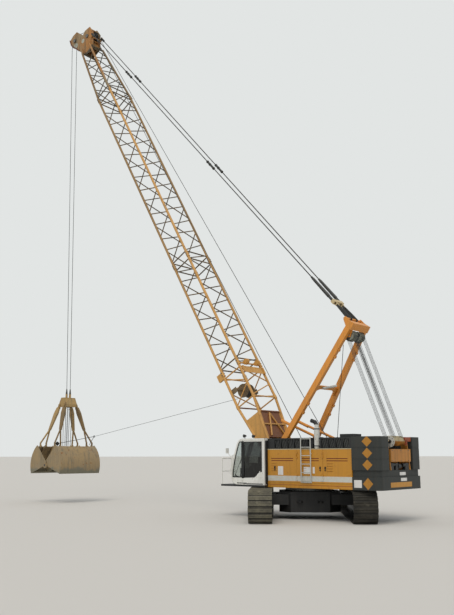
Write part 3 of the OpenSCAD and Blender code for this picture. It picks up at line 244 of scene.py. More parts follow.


# The darkest mud. On the chain links it also stands for painted shade in the gaps.
mud = muddy_steel("muddy_cast_steel_and_painted_gap_shade", "#1d1c1a #2f2d28 #121110 #45423a")
scuffed = muddy_steel("scuffed_muddy_steel", "#6b685c #86826f #2a2823 #a19d89")
# The right loop's finish is darker than the left's: painted shade.
shade_darkened_mud = muddy_steel("shade_darkened_muddy_steel", "#34322c #45423a #151412 #6b675a")
dress(mud, "track_left", "track_right", "drive_sprockets", "idlers", "rollers")

gauge, track_r, wheel_x, shoe_w = 3.64, 0.565, 2.81, 0.84
shoe_count, shoe_gap, plate_t, rib_h, rib_t = 64, 0.07, 0.022, 0.026, 0.022
lip, lug_t, lug_z, pin_z, arc_end = 0.02, 0.036, 0.13, 0.095, 0.014
run_len, arc_len = 2 * wheel_x, math.pi * track_r
pitch = 2 * (run_len + arc_len) / shoe_count
shoe_len = pitch - shoe_gap
half, half_w, plate_top = shoe_len / 2, shoe_w / 2, rib_h + plate_t
undercarriage_deg = -53
under = Matrix.Translation((slew_x, 0, 0)) @ Matrix.Rotation(math.radians(undercarriage_deg), 4, "Z")


def on_loop(s):
    """Where a shoe's middle lies on the loop: its place, and how far it has turned from the lower run.
    Round a wheel the flat shoes sink in a little, so that their ends stay on the loop."""
    upper, s = divmod(s, run_len + arc_len)
    if s < run_len:
        middle, a = Vector((s - wheel_x, 0, -track_r)), 0.0
    else:
        a = (s - run_len) / track_r
        sunk_r = track_r * math.cos((half - arc_end) / track_r)
        middle = Vector((wheel_x + sunk_r * math.sin(a), 0, -sunk_r * math.cos(a)))
    if upper:
        middle, a = -middle, a + math.pi
    return middle + Vector((0, 0, track_r)), a


for side, name, finish in ((1, "left", scuffed), (-1, "right", shade_darkened_mud)):
    links, shoes = bmesh.new(), bmesh.new()
    for i in range(shoe_count):
        middle, a = on_loop((i + 0.5) * pitch)
        turn = under @ Matrix.Translation(middle + Vector((0, side * gauge / 2, 0))) @ Matrix.Rotation(-a, 4, "Y")
        box(shoes, (-half, -half_w, rib_h), (half, half_w, plate_top), turn)
        box(links, (half - lip, 0.006 - half_w, plate_top - 0.004),
            (pitch - half + lip, half_w - 0.006, plate_top + 0.008), turn)
        for x in (-0.03, 0.03):
            box(shoes, (x - rib_t / 2, -half_w, 0), (x + rib_t / 2, half_w, rib_h + 0.002), turn)
        for y in (-0.1, 0.1):
            box(links, (-half + 0.005, y - lug_t / 2, plate_top), (half + lip, y + lug_t / 2, lug_z), turn)
            for x in (-0.05, 0.05):
                rod(links, (x, y * 1.9, 0.045), (x, y * 1.9, 0.062), 0.016, 6, turn)
        rod(links, (half + 0.012, -0.13, pin_z), (half + 0.012, 0.13, pin_z), 0.02, 8, turn)
    # The links' dark finish is partly painted shade in the gaps between the shoes.
    piece(name + "_track_links", links, mud, "undercarriage")
    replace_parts(piece(name + "_track_shoes", shoes, finish, "undercarriage"), "track_" + name)

# CARBODY AND TRACK FRAMES
# Welded box of thick plate with four arms, and a welded frame along each crawler.
# They are painted black, under dust and dried splashes, and bolts hold the wheels, rollers and ring.


def painted_steel(name, colours, fading, streaks, rusting, gloss, metallic=0.0):
    """Enamel sprayed on steel: faded in patches a metre wide, with dirt in streaks of 120 mm and spots
    of 70 mm, and rust in spots of 140 mm. Its 2 mm grain is drawn 20 mm wide, as coarse as it needs to
    show. Colours are the paint's, clean and faded, the dirt's and the rust's; gloss is a roughness."""
    paint, faded, grime, rust = colours.split()
    made, tree, shader, place = material(name, paint, gloss, {"Metallic": metallic})
    down = add(tree, "Mapping", {"Vector": place, "Scale": (5.0, 5.0, 0.35)}).outputs[0]
    fine = stain(tree, place, 14.0, 0.5, 0.8, streaks * 0.5, 10.0)
    specks = stain(tree, place, 7.0, 0.62, 0.68, rusting, 12.0)
    for mask, tone in ((stain(tree, place, 0.8, 0.4, 0.65, fading), faded),
                       (stain(tree, down, 1.6, 0.47, 0.72, streaks, 8.0), grime), (fine, grime), (specks, rust)):
        repaint(made, mask, tone)
    add(tree, "MapRange", {0: fine, 1: 0.0, 2: 1.0, 3: gloss, 4: 0.95}, shader.inputs["Roughness"])
    grain = add(tree, "TexNoise", {"Vector": place, "Scale": 45.0, "Detail": 4.0})
    height = add(tree, "Math", {0: grain.outputs[0], 1: specks}, operation="ADD")
    add(tree, "Bump", {"Strength": 0.12, "Distance": 0.01, "Height": height.outputs[0]}, shader.inputs["Normal"])
    return made


def bolt_circle(shape, middle, radius, count, out, bolt_r, place=None):
    """Adds hexagon heads in a circle round an axis along Y; out is how far they stand proud."""
    for i in range(count):
        a = 2 * math.pi * i / count
        foot = middle + Vector((radius * math.cos(a), 0, radius * math.sin(a)))
        rod(shape, foot, foot + Vector((0, out, 0)), bolt_r, 6, place)


black_chassis = painted_steel("black_chassis_enamel", "#101112 #18191a #2d2a25 #35291f", 0.6, 0.5, 0.35, 0.55)
dress(black_chassis, "carbody", "track_frames", "travel_drives")

frame_y, roller_z, roller_end, ring_bolt_r = 0.166, 0.247, 2.19, 0.93
shape = bmesh.new()
for side in (1, -1):
    for y in (frame_y + 0.002, -frame_y - 0.002):
        for x, r, count in ((wheel_x, 0.11, 8), (-wheel_x, 0.08, 6)):
            bolt_circle(shape, Vector((x, side * gauge / 2 + y, track_r)), r, count,
                        math.copysign(0.016, y), 0.013, under)
    for i in range(9):
        x = -roller_end + 2 * roller_end * i / 8
        for y in (frame_y, -frame_y):
            rod(shape, (x, side * gauge / 2 + y, roller_z), (x, side * gauge / 2 + y * 1.12, roller_z),
                0.045, 12, under)
for i in range(36):
    a = 2 * math.pi * i / 36
    foot = Vector((slew_x + ring_bolt_r * math.cos(a), ring_bolt_r * math.sin(a), 1.028))
    rod(shape, foot, foot + Vector((0, 0, 0.02)), 0.016, 6)
piece("undercarriage_bolts", shape, black_chassis, "undercarriage")

shape = bmesh.new()
for x in (-0.55, 0.55):
    for side in (1, -1):
        for z in (0.62, 0.86):
            box(shape, (x - 0.22, side * 1.15 - 0.006, z), (x + 0.22, side * 1.15 + 0.012 * side, z + 0.03), under)
box(shape, (0.78, 0.93, 0.3), (0.98, 0.945, 0.55), under)
piece("carbody_steps", shape, black_chassis, "undercarriage")

# SLEWING RING AND MAIN FRAME
# Forged ring, bolted between the carbody and the deck, and bright under its grease.
# The deck is welded from plate, sprayed grey-green, and carries the whole upper machine.
greased_steel = painted_steel("greased_steel", "#6c6e6c #8b8c88 #2a2825 #5a4535", 0.6, 0.5, 0.4, 0.38, 0.6)
deck_paint = painted_steel("grey_green_deck_enamel", "#3c4142 #4d5251 #5f5a4e #54402f", 0.5, 0.4, 0.4, 0.55)
dress(greased_steel, "slewing_ring")
dress(deck_paint, "main_frame")

# HOUSE
# Pressed-steel panels and hung doors along both sides, on a sill with upright posts.
# They are sprayed orange, with a white band and a thin red-brown line along them.


def opened(made):
    """A finish's node tree and its Object coordinates, whole and in parts, for more to be laid on it."""
    place = next(node for node in made.node_tree.nodes if node.type == "TEX_COORD").outputs["Object"]
    return made.node_tree, place, add(made.node_tree, "SeparateXYZ", {0: place}).outputs


def at(x, y, z):
    """A point given from the slewing axis and the ground."""
    return Vector((slew_x + x, y, z))


# Orange enamel with a soft gloss, hardly faded on the panels and dirtier on the open frames.
house_orange = ("#c58b29 #bc832b #8f6428 #6f3516", 0.5, 0.3, 0.25, 0.38)
orange_paint = painted_steel("orange_house_enamel", *house_orange)
banded_paint = painted_steel("orange_enamel_with_white_band", *house_orange)
dull_orange = painted_steel("dull_orange_frame_enamel", "#bb7e2e #a8702a #5c4426 #54301c", 0.6, 0.6, 0.5, 0.5)
side_y, house_z, sill_z = 1.505, 2.56, 1.345
band_y, band_z, line_z = 1.455, (1.405, 1.595), (1.258, 1.276)
tree, place, parts = opened(banded_paint)
across = add(tree, "Math", {0: parts["Y"]}, operation="ABSOLUTE")
outside = add(tree, "Math", {0: across.outputs[0], 1: band_y}, operation="GREATER_THAN")
for (low, high), paint in ((band_z, "#c9cbc4"), (line_z, "#8a3c16")):
    mask = add(tree, "Math", {0: parts["Z"], 1: (low + high) / 2, 2: (high - low) / 2}, operation="COMPARE")
    worn = add(tree, "Math", {0: stain(tree, place, 9.0, 0.2, 0.5, 1.0, 10.0), 1: 0.88}, operation="MAXIMUM")
    for limit in (worn, outside):
        mask = add(tree, "Math", {0: mask.outputs[0], 1: limit.outputs[0]}, operation="MULTIPLY")
    repaint(banded_paint, mask.outputs[0], paint)
dress(orange_paint, "fuel_tank")
dress(dull_orange, "winch_frame")
dress(banded_paint, "house_frame", "house_panels", "front_left_door", "rear_left_door",
      "front_right_door", "rear_right_door")

# Moulded rubber, dull and dusty, with bumps of 8 mm.
black_rubber, tree, shader, place = material("black_rubber", "#161718", 0.7)
repaint(black_rubber, stain(tree, place, 25.0, 0.45, 0.7, 0.6, 8.0), "#2b2c2b")
skin = add(tree, "TexNoise", {"Vector": place, "Scale": 120.0})
add(tree, "Bump", {"Strength": 0.1, "Distance": 0.003, "Height": skin.outputs[0]}, shader.inputs["Normal"])
# Smooth white film, dark paint behind the slots, and a cream strip along the top edge.
sticker_film = painted_steel("blank_white_sticker_film", "#e4e4e2 #d8d6d2 #a09a8e #8f8478", 0.6, 0.35, 0.1, 0.4)
slot_paint = painted_steel("red_brown_slot_enamel", "#6b1f12 #7c2a16 #4a2012 #3c170d", 0.5, 0.4, 0.3, 0.6)
pale_edge = painted_steel("pale_cream_edge_enamel", "#d8cfae #cbbf98 #8d8468 #8a5a3a", 0.5, 0.4, 0.2, 0.5)


def on_side(x, y, z, side):
    """A point on the left or right side of the house, y proud of its panels."""
    return at(x, side * (side_y + y), z)


for side, word in ((1, "left"), (-1, "right")):
    for name, body, a, b, latch_x in (("front", f"front_{word}_door", -0.527, 0.824, 0.487),
                                      ("middle", "upper", -1.677, -0.533, -1.57),
                                      ("rear", f"rear_{word}_door", -2.894, -1.683, -1.79)):
        shape = bmesh.new()
        for z in (house_z - 0.33, house_z - 0.41):
            box(shape, on_side(a + 0.165, -0.02, z - 0.0145, side), on_side(b - 0.165, -0.006, z + 0.0145, side))
        piece(f"{name}_{word}_slot_backs", shape, slot_paint, body)
        shape = bmesh.new()
        louvre_a, louvre_b = b - 0.425, b - 0.175
        for i in range(4):
            z = sill_z + 0.438 + 0.09 * i
            box(shape, on_side(louvre_a, -0.001, z, side), on_side(louvre_b, 0.012, z + 0.0065, side))
            rod(shape, on_side(louvre_a, -0.004, z, side), on_side(louvre_b, -0.004, z, side), 0.007, 8)
        for x in (a + 0.045, b - 0.045):
            rod(shape, on_side(x, -0.01, sill_z + 0.03, side), on_side(x, 0.006, sill_z + 0.03, side), 0.013, 8)
        piece(f"{name}_{word}_louvres", shape, orange_paint, body)
        shape = bmesh.new()
        box(shape, on_side(latch_x - 0.028, -0.002, 1.85, side), on_side(latch_x + 0.028, 0.022, 1.94, side))
        bmesh.ops.bevel(shape, geom=shape.edges[:], offset=0.006, affect="EDGES", segments=2, profile=0.5,
                        material=-1)
        rod(shape, on_side(latch_x, 0.018, 1.895, side), on_side(latch_x, 0.03, 1.895, side), 0.014, 12)
        box(shape, on_side(latch_x - 0.022, -0.002, 1.79, side), on_side(latch_x + 0.022, 0.022, 1.83, side))
        piece(f"{name}_{word}_latch", shape, black_rubber, body)
    shape = bmesh.new()
    box(shape, on_side(-2.9, -0.03, house_z + 0.001, side), on_side(0.83, 0.004, house_z + 0.022, side))
    piece(word + "_cover_edge", shape, pale_edge, "upper")

for name, body, x, z, wide, tall in (
        ("front_door", "front_left_door", 0.222, 1.784, 0.24, 0.32),
        ("ladder_panel", "upper", -0.985, 1.80, 0.30, 0.25),
        ("ladder_panel_small", "upper", -1.285, 1.81, 0.09, 0.23),
        ("base_slab", "upper", -3.13, 1.366, 0.31, 0.26)):
    shape = bmesh.new()
    box(shape, on_side(x - wide / 2, -0.001, z - tall / 2, 1), on_side(x + wide / 2, 0.002, z + tall / 2, 1))
    piece(name + "_blank_sticker", shape, sticker_film, body)

# MACHINERY COVER AND EXHAUST
# Folded sheet cover over the engine, in half glossy black, with a row of dusty slats along each side.
# The stack is a clamped steel pipe that heat has turned chalky, and its elbow is black with soot.
cover_paint = painted_steel("black_cover_enamel", "#17191a #232627 #3b3a36 #3a2c22", 0.6, 0.35, 0.2, 0.5)
slat_paint = painted_steel("dark_grey_slat_enamel", "#4b4e4d #5c5f5c #3a3832 #4a3a2e", 0.6, 0.4, 0.3, 0.5)
stack_paint = painted_steel("heat_faded_grey_enamel", "#cfd1cb #d8d9d3 #8f887b #7b563c", 0.6, 0.5, 0.5, 0.6)
soot_low, soot_high = 3.44, 3.47
tree, place, parts = opened(stack_paint)
sooty = add(tree, "MapRange", {0: parts["Z"], 1: soot_low, 2: soot_high, 3: 0.0, 4: 1.0})
repaint(stack_paint, sooty.outputs[0], "#1c1c1b")
dress(cover_paint, "machinery_cover", "engine", "walkways")
dress(stack_paint, "exhaust")

cover_low, cover_high, cover_pitch = 2.56, 2.98, 0.305
stack_x, stack_y = -1.38, 1.39
shape = bmesh.new()
for side in (1, -1):
    for i in range(12):
        x = -2.81 + cover_pitch * i
        if side < 0 or not -1.6 < x < -1.2:
            for foot in (x + 0.04, x + 0.11, x + 0.18):
                rod(shape, at(foot, side * 1.452, cover_low + 0.055),
                    at(foot + 0.06, side * 1.478, cover_high - 0.055), 0.01, 6)
piece("cover_slats", shape, slat_paint, "upper")
shape = bmesh.new()
for y in (-1.3, -0.65, 0, 0.65, 1.3):
    for x in (-2.8, -2.2, -1.6):
        rod(shape, at(x, y, cover_high - 0.002), at(x, y, cover_high + 0.014), 0.016, 6)
for z in (2.665, 3.28):
    rod(shape, at(stack_x, stack_y, z), at(stack_x, stack_y, z + 0.035), 0.113, 32)
piece("cover_bolts_and_clamps", shape, cover_paint, "upper")
shape = bmesh.new()
rod(shape, at(-1.155, stack_y, 3.603), at(-1.139, stack_y, 3.607), 0.073, 24)
piece("exhaust_mouth", shape, black_rubber, "upper")

# WINCHES
# Cast drums between dark flanges, bolted into the frame, each full of wire rope.
# The rope lies in turns 26 mm wide, which show as ridges.


def winding(shape, centre, radius, low, high, wide):
    """Adds one layer of rope round a drum across the machine, between two places along its axis."""
    count = int((high - low) / wide)
    pitch = (high - low) / count
    profile = [(low, 0.0), (low, radius)]
    for i in range(count):
        profile += [(low + (i + t) * pitch, radius + wide * r) for t, r in ((0.1, 0.45), (0.5, 0.95), (0.9, 0.45))]
    profile += [(high, radius), (high, 0.0)]
    verts = [shape.verts.new(centre + Vector((0, y, r))) for y, r in profile]
    edges = [shape.edges.new(pair) for pair in zip(verts, verts[1:])]
    bmesh.ops.spin(shape, geom=verts + edges, cent=centre, axis=(0, 1, 0), dvec=(0, 0, 0),
                   angle=math.radians(360), steps=32, use_merge=True)
    bmesh.ops.remove_doubles(shape, verts=shape.verts[:], dist=0.0001)


# Dark enamel under old grease, and dark steel wires with a dull shine. Their 4 mm strands are drawn
# 9 mm wide, so that they show.
drum_paint = painted_steel("dark_winch_enamel", "#2a2c2c #3a3c3c #4b463d #5a402c", 0.6, 0.5, 0.5, 0.5)
dress(drum_paint, "winches")
dress(greased_steel, "boom_hoist_winch")
wire_rope, tree, shader, place = material("greased_wire_rope", "#4c4e4e", 0.5, {"Metallic": 0.5})
repaint(wire_rope, stain(tree, place, 3.0, 0.4, 0.65, 0.8, 8.0), "#34332f")
strands = add(tree, "TexNoise", {"Vector": place, "Scale": 110.0, "Detail": 2.0})
add(tree, "Bump", {"Strength": 0.25, "Distance": 0.004, "Height": strands.outputs[0]}, shader.inputs["Normal"])


def rope(name, shape, body=None):
    """Makes a piece of wire rope; it rides on a body if one is given."""
    return piece(name, shape, wire_rope, body)


winch_axles, rope_wide = ((0.06, 2.19), (-1.0, 2.26)), 0.026
shape = bmesh.new()
for x, z in winch_axles:
    winding(shape, at(x, 0, z), 0.25, -0.395, 0.395, rope_wide)
winding(shape, at(-3.4, 0, 2.72), 0.15, -0.375, 0.295, rope_wide)
rope("rope_windings", shape, "upper")

# COUNTERWEIGHT
# Cast slabs pinned on the tail, rolled matte grey-green, with orange diamonds sprayed on their sides.
# Blank plates are screwed on the tail, and enamelled sheave guards and valves show over it.
slab_paint = painted_steel("grey_green_slab_paint", "#272b2a #303533 #3d3931 #43342a", 0.6, 0.45, 0.3, 0.62)
diamond_paint = painted_steel("orange_diamond_enamel", "#b57d26 #a8752a #6e4c22 #5c3418", 0.5, 0.4, 0.3, 0.5)
pale_guard = painted_steel("pale_grey_guard_enamel", "#cdcdc6 #bdbdb4 #7d766a #6d4a34", 0.6, 0.4, 0.4, 0.5)
red_orange = painted_steel("red_orange_enamel", "#9c4824 #8f4426 #55301c #54301c", 0.6, 0.4, 0.4, 0.5)
dress(slab_paint, "counterweight_base", "counterweight_left", "counterweight_right")

tail_x = -4.03
for side, word in ((1, "left"), (-1, "right")):
    shape = bmesh.new()
    for z, tall in ((2.822, 0.185), (2.418, 0.185), (2.018, 0.185), (1.374, 0.205)):
        bmesh.ops.create_cone(shape, cap_ends=True, segments=4, radius1=1, radius2=1, depth=1,
                              matrix=Matrix.Translation(at(-3.53, side * (side_y + 0.001), z))
                              @ Matrix.Diagonal((0.2, 1, tall, 1)) @ Matrix.Rotation(math.radians(90), 4, "X")
                              @ Matrix.Diagonal((1, 1, 0.004, 1)))
    piece(word + "_diamonds", shape, diamond_paint, "upper")
for name, x, low, high, z, tall, finish, slot in (
        ("orange_tail_plate", tail_x, -0.70, 0.82, 1.325, 0.17, orange_paint, "orange_paint"),
        ("upper_tail_plate", tail_x + 0.05, -0.36, 0.07, 1.70, 0.11, sticker_film, "white_paint"),
        ("lower_tail_plate", tail_x, -0.34, 0.09, 1.50, 0.11, sticker_film, "white_paint")):
    shape = bmesh.new()
    box(shape, at(x - 0.006, low, z - tall / 2), at(x + 0.002, high, z + tall / 2))
    bmesh.ops.bevel(shape, geom=shape.edges[:], offset=0.002, affect="EDGES", segments=1, profile=0.5, material=-1)
    piece(name, shape, finish, "upper")

disc_x, disc_y, disc_z = -3.83, 0.436, 2.82
shape = bmesh.new()
rod(shape, at(disc_x, disc_y - 0.01, disc_z), at(disc_x, disc_y, disc_z), 0.2, 40)
piece("tackle_guard_disc", shape, pale_guard, "upper")
shape = bmesh.new()
rod(shape, at(disc_x, disc_y, 2.83), at(disc_x, disc_y + 0.064, 2.83), 0.07, 24)
bolt_circle(shape, at(disc_x, disc_y - 0.002, disc_z), 0.16, 8, 0.012, 0.014)
piece("tackle_disc_hub", shape, cover_paint, "upper")
shape = bmesh.new()
for y in (-0.56, -0.5):
    box(shape, at(-3.99, y, 2.7), at(-3.93, y + 0.03, 2.9))
box(shape, at(-3.99, -0.84, 2.87), at(-3.93, -0.4, 2.99))
rod(shape, at(-3.96, -0.84, 2.86), at(-3.96, -0.45, 2.86), 0.03, 12)
piece("winch_cross_bars", shape, red_orange, "upper")
shape = bmesh.new()
for y, z, r in ((-0.3, 2.0, 0.07), (0.05, 1.96, 0.09), (0.4, 2.02, 0.06)):
    rod(shape, at(-3.92, y - 0.09, z), at(-3.92, y + 0.09, z), r, 24)
    rod(shape, at(-3.92, y - 0.12, z), at(-3.92, y - 0.09, z), r * 0.55, 12)
for low, high in ((-0.62, -0.36), (0.16, 0.33), (0.48, 0.66)):
    box(shape, at(-3.98, low, 1.835), at(-3.85, high, 2.07))
piece("winch_valves", shape, cover_paint, "upper")
shape = bmesh.new()
for y in (-0.55, 0.0, 0.6):
    for z in (2.16, 2.52):
        rod(shape, at(tail_x + 0.014, y, z), at(tail_x, y, z), 0.018, 6)
piece("winch_frame_bolts", shape, greased_steel, "upper")

# CAB
# Pressed-steel shell, bolted to the deck, sprayed off-white outside, and dark grey inside with painted shade.
# Its panes are held in black rubber seals: pale ones all round, a tinted one in the door.


def recoloured(made, low, high, paint):
    """Repaints one box-shaped region of a finish, between two corners."""
    tree, place, parts = opened(made)
    mask = None
    for name, a, b in zip("XYZ", low, high):
        inside = add(tree, "Math", {0: parts[name], 1: (a + b) / 2, 2: (b - a) / 2}, operation="COMPARE")
        if mask:
            inside = add(tree, "Math", {0: mask.outputs[0], 1: inside.outputs[0]}, operation="MULTIPLY")
        mask = inside
    repaint(made, mask.outputs[0], paint)


# The enamel is bright and half glossy. Painted shade makes it dark inside, and it is dark round the door's front
# edge.
cab_white = ("#ebece7 #dfe0d9 #aca89b #8a5a3a", 0.5, 0.3, 0.2, 0.35)
cab_paint = painted_steel("off_white_cab_enamel", *cab_white)
shaded_cab = painted_steel("off_white_cab_enamel_with_painted_inner_shade", *cab_white)
door_paint = painted_steel("off_white_door_enamel", *cab_white)
# Painted shade: everything inside the cab's shell is darkened.
recoloured(shaded_cab, at(0.9, 0.87, 1.25), at(2.12, 1.64, 2.96), "#151716")
for finish in (shaded_cab, door_paint):
    recoloured(finish, at(1.885, 1.5, 1.47), at(2.0, 1.7, 2.89), "#1e2020")
dress(cab_paint, "handrails")
dress(shaded_cab, "cab")
dress(door_paint, "cab_door")
dress(cover_paint, "cab_console", "work_lamps")

# Rolled glass: smooth, with sharp reflections. The door's is tinted and darkens what is behind it.
for name, tint, node in (("clear_safety_glass", "#dce1de", "cab_glass"),
                         ("tinted_safety_glass", "#484c49", "cab_door_glass")):
    glass, tree, shader, place = material(name, tint, 0.02, {"IOR": 1.5, "Transmission Weight": 1.0})
    dress(glass, node)

# Woven cloth, matte with a faint sheen. Its 1 mm threads are drawn 11 mm wide, so that they show.
seat_cloth, tree, shader, place = material("black_woven_seat_cloth", "#1e2022", 0.9, {"Sheen Weight": 0.3})
weave = add(tree, "TexWave", {"Vector": place, "Scale": 90.0, "Distortion": 1.5, "Detail": 2.0})
repaint(seat_cloth, weave.outputs[1], "#303336")
add(tree, "Bump", {"Strength": 0.3, "Distance": 0.002, "Height": weave.outputs[1]}, shader.inputs["Normal"])
dress(seat_cloth, "cab_seat")

cab_x, cab_z, cab_in, cab_out = 0.88, 1.23, 0.845, 1.665


def in_cab(x, from_out, z):
    """A point given from the cab's rear lower edge and its outer side."""
    return at(cab_x + x, cab_out + from_out, cab_z + z)


def seal(shape, outline, wide, deep):
    """Adds a rubber seal along a pane's outline, wide in its plane and as thick as deep is long."""
    face = shape.faces.new([shape.verts.new(in_cab(x, 0.006, z)) for x, z in outline])
    bmesh.ops.recalc_face_normals(shape, faces=[face])
    ring = bmesh.ops.inset_region(shape, faces=[face], thickness=wide, use_boundary=True,
                                  use_even_offset=True)["faces"]
    bmesh.ops.delete(shape, geom=[face], context="FACES_ONLY")
    out = bmesh.ops.extrude_face_region(shape, geom=ring)["geom"]
    bmesh.ops.translate(shape, verts=[v for v in out if isinstance(v, bmesh.types.BMVert)], vec=deep)


seal_wide, seal_deep = 0.028, (0, -0.03, 0)
door_pane = [(0.11, 0.5), (0.23, 0.48), (0.31, 0.43), (0.4, 0.33), (0.49, 0.28), (1.03, 0.26), (1.03, 1.64),
             (0.11, 1.64)]
nose = [(0.27, 0.0), (0.52, 0.005), (0.77, 0.05), (1.06, 0.125), (1.36, 0.22), (1.57, 0.30), (1.65, 0.36)]
quarter_pane = [(1.105, 0.27)] + [(1.66 - back - 0.08, z) for z, back in nose] + [(1.105, 1.65)]
shape = bmesh.new()
seal(shape, door_pane, seal_wide, seal_deep)
piece("door_seal", shape, black_rubber, "cab_door")
shape = bmesh.new()
seal(shape, quarter_pane, seal_wide, seal_deep)
box(shape, in_cab(1.068, -0.02, 0.24), in_cab(1.094, 0.002, 1.68))
piece("quarter_window_seal", shape, black_rubber, "upper")
shape = bmesh.new()
box(shape, in_cab(0.875, -0.002, 0.035), in_cab(1.36, 0.006, 0.075))
box(shape, in_cab(0.07, -0.002, 0.022), in_cab(0.87, 0.004, 0.05))
# A black sheet in the gap between the cab and the house: painted shade.
box(shape, at(0.836, 0.9, 1.27), at(0.876, cab_out - 0.06, 2.9))
piece("cab_black_strips_and_gap_shade", shape, black_rubber, "upper")
shape = bmesh.new()
rod(shape, in_cab(1.53, -0.2, 0.3), in_cab(1.6, -0.2, 0.36), 0.02, 8)
rod(shape, in_cab(1.655, -0.24, 0.33), in_cab(1.545, -0.505, 1.02), 0.009, 8)
rod(shape, in_cab(1.6, -0.475, 0.78), in_cab(1.47, -0.545, 1.32), 0.012, 8)
piece("windscreen_wiper", shape, black_rubber, "upper")

# Pressed clear glass, with ribs that break up its shine.
lens, tree, shader, place = material("ribbed_lamp_glass", "#dfe4e2", 0.15)
ribs = add(tree, "TexWave", {"Vector": place, "Scale": 30.0}, bands_direction="Y")
add(tree, "Bump", {"Strength": 0.4, "Distance": 0.003, "Height": ribs.outputs[1]}, shader.inputs["Normal"])
lamps_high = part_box("work_lamps")[1]
lens_x, lens_z = lamps_high.x, lamps_high.z - 0.065
shape = bmesh.new()
for y in (cab_in + 0.13, cab_out - 0.13):
    rod(shape, Vector((lens_x - 0.004, y, lens_z)), Vector((lens_x + 0.006, y, lens_z)), 0.058, 24)
piece("lamp_lenses", shape, lens, "upper")


def tube(shape, points, radius, sides=12):
    """Adds a bent tube along straight stretches, with a ball at each bend."""
    for start, end in zip(points, points[1:]):
        rod(shape, start, end, radius, sides)
    for point in points:
        bmesh.ops.create_uvsphere(shape, u_segments=sides, v_segments=8, radius=radius,
                                  matrix=Matrix.Translation(point))


guard_xz = ((2.4, 2.36), (2.47, 2.33), (2.5, 2.2), (2.5, 1.6), (2.47, 1.45), (2.4, 1.34), (2.3, 1.27), (2.2, 1.25),
            (1.9, 1.25))
handle_xz = ((2.5, 1.86), (2.57, 1.82), (2.585, 1.7), (2.56, 1.58), (2.5, 1.5))
shape = bmesh.new()
tube(shape, [at(x, cab_out + 0.025, z) for x, z in guard_xz], 0.019)
tube(shape, [at(x, cab_out + 0.02, z) for x, z in handle_xz], 0.015)
for x, z in ((2.4, 2.36), (2.5, 1.9), (2.2, 1.25)):
    rod(shape, at(x, cab_out - 0.05, z), at(x, cab_out + 0.025, z), 0.012, 8)
piece("cab_grab_rails", shape, cab_paint, "upper")

# LADDER
# Steel tube with welded rungs, hooked on the fixed left panel over a pale kick plate.
# It is dipped in zinc, which is pale grey and blotchy, with a slight shine.
zinc = painted_steel("galvanised_tube", "#c3c5bf #b3b5ae #7b756a #7c5236", 0.7, 0.4, 0.3, 0.5, 0.2)
dress(zinc, "ladder")
shape = bmesh.new()
box(shape, at(-1.2, side_y + 0.003, 1.355), at(-0.77, side_y + 0.012, 1.56))
piece("ladder_kick_plate", shape, pale_guard, "upper")

# BOOM
# Four chord tubes laced with thinner ones, in welded sections that are pinned at their chords.
# Rust and grease have turned the lacing and the head brown, over a sandy orange enamel.
# Two hoist ropes run from the drums over the head.
boom_deg, boom_foot = 60, at(1.05, 0, 1.91)
chord_y, chord_n, section_ends, boom_tip = 0.73, 0.48, (4.65, 10.6, 22.25), 26.3
boom_place = Matrix.Translation(boom_foot) @ Matrix.Rotation(math.radians(-boom_deg), 4, "Y")


def lace(made, dirty, dirtier):
    """Darkens a finish on the lacing: all below the head that isn't near the four chords, which close in
    along the last section. Painted shade darkens two of the chords too, the lower left and the upper right one."""
    tree, place, parts = opened(made)
    foot = add(tree, "VectorMath", {0: place, 1: boom_foot}, operation="SUBTRACT").outputs[0]
    cos, sin = math.cos(math.radians(boom_deg)), math.sin(math.radians(boom_deg))
    along = add(tree, "VectorMath", {0: foot, 1: (cos, 0, sin)}, operation="DOT_PRODUCT").outputs["Value"]
    deep = add(tree, "VectorMath", {0: foot, 1: (-sin, 0, cos)}, operation="DOT_PRODUCT").outputs["Value"]
    # Painted shade on two chords: where the depth and the side have opposite signs.
    corner = add(tree, "Math", {0: deep, 1: parts["Y"]}, operation="MULTIPLY").outputs[0]
    dull = add(tree, "Math", {0: corner, 1: 0.0}, operation="LESS_THAN").outputs[0]
    for low, high, amount in ((4.0, 14.0, 0.7), (boom_tip + 0.1, boom_tip, 1.0)):
        reach = add(tree, "MapRange", {0: along, 1: low, 2: high, 3: 0.0, 4: amount})
        dull = add(tree, "Math", {0: dull, 1: reach.outputs[0]}, operation="MULTIPLY").outputs[0]
    repaint(made, dull, "#6e5a38")
    kept = add(tree, "Math", {0: along, 1: boom_tip + 0.05}, operation="GREATER_THAN").outputs[0]
    near = []
    for value, wide, narrow in ((deep, chord_n, 0.36), (parts["Y"], chord_y, 0.47)):
        size = add(tree, "Math", {0: value}, operation="ABSOLUTE").outputs[0]
        chord = add(tree, "MapRange", {0: along, 1: section_ends[2], 2: boom_tip, 3: wide, 4: narrow}).outputs[0]
        near.append(add(tree, "Math", {0: size, 1: chord, 2: 0.08}, operation="COMPARE").outputs[0])
    both = add(tree, "Math", {0: near[0], 1: near[1]}, operation="MULTIPLY").outputs[0]
    kept = add(tree, "Math", {0: kept, 1: both}, operation="MAXIMUM").outputs[0]
    laced = add(tree, "Math", {0: 1.0, 1: kept}, operation="SUBTRACT").outputs[0]
    stained = stain(tree, place, 2.0, 0.4, 0.6, 1.0)
    cloudy = add(tree, "Math", {0: laced, 1: stained}, operation="MULTIPLY").outputs[0]
    repaint(made, laced, dirty)
    repaint(made, cloudy, dirtier)


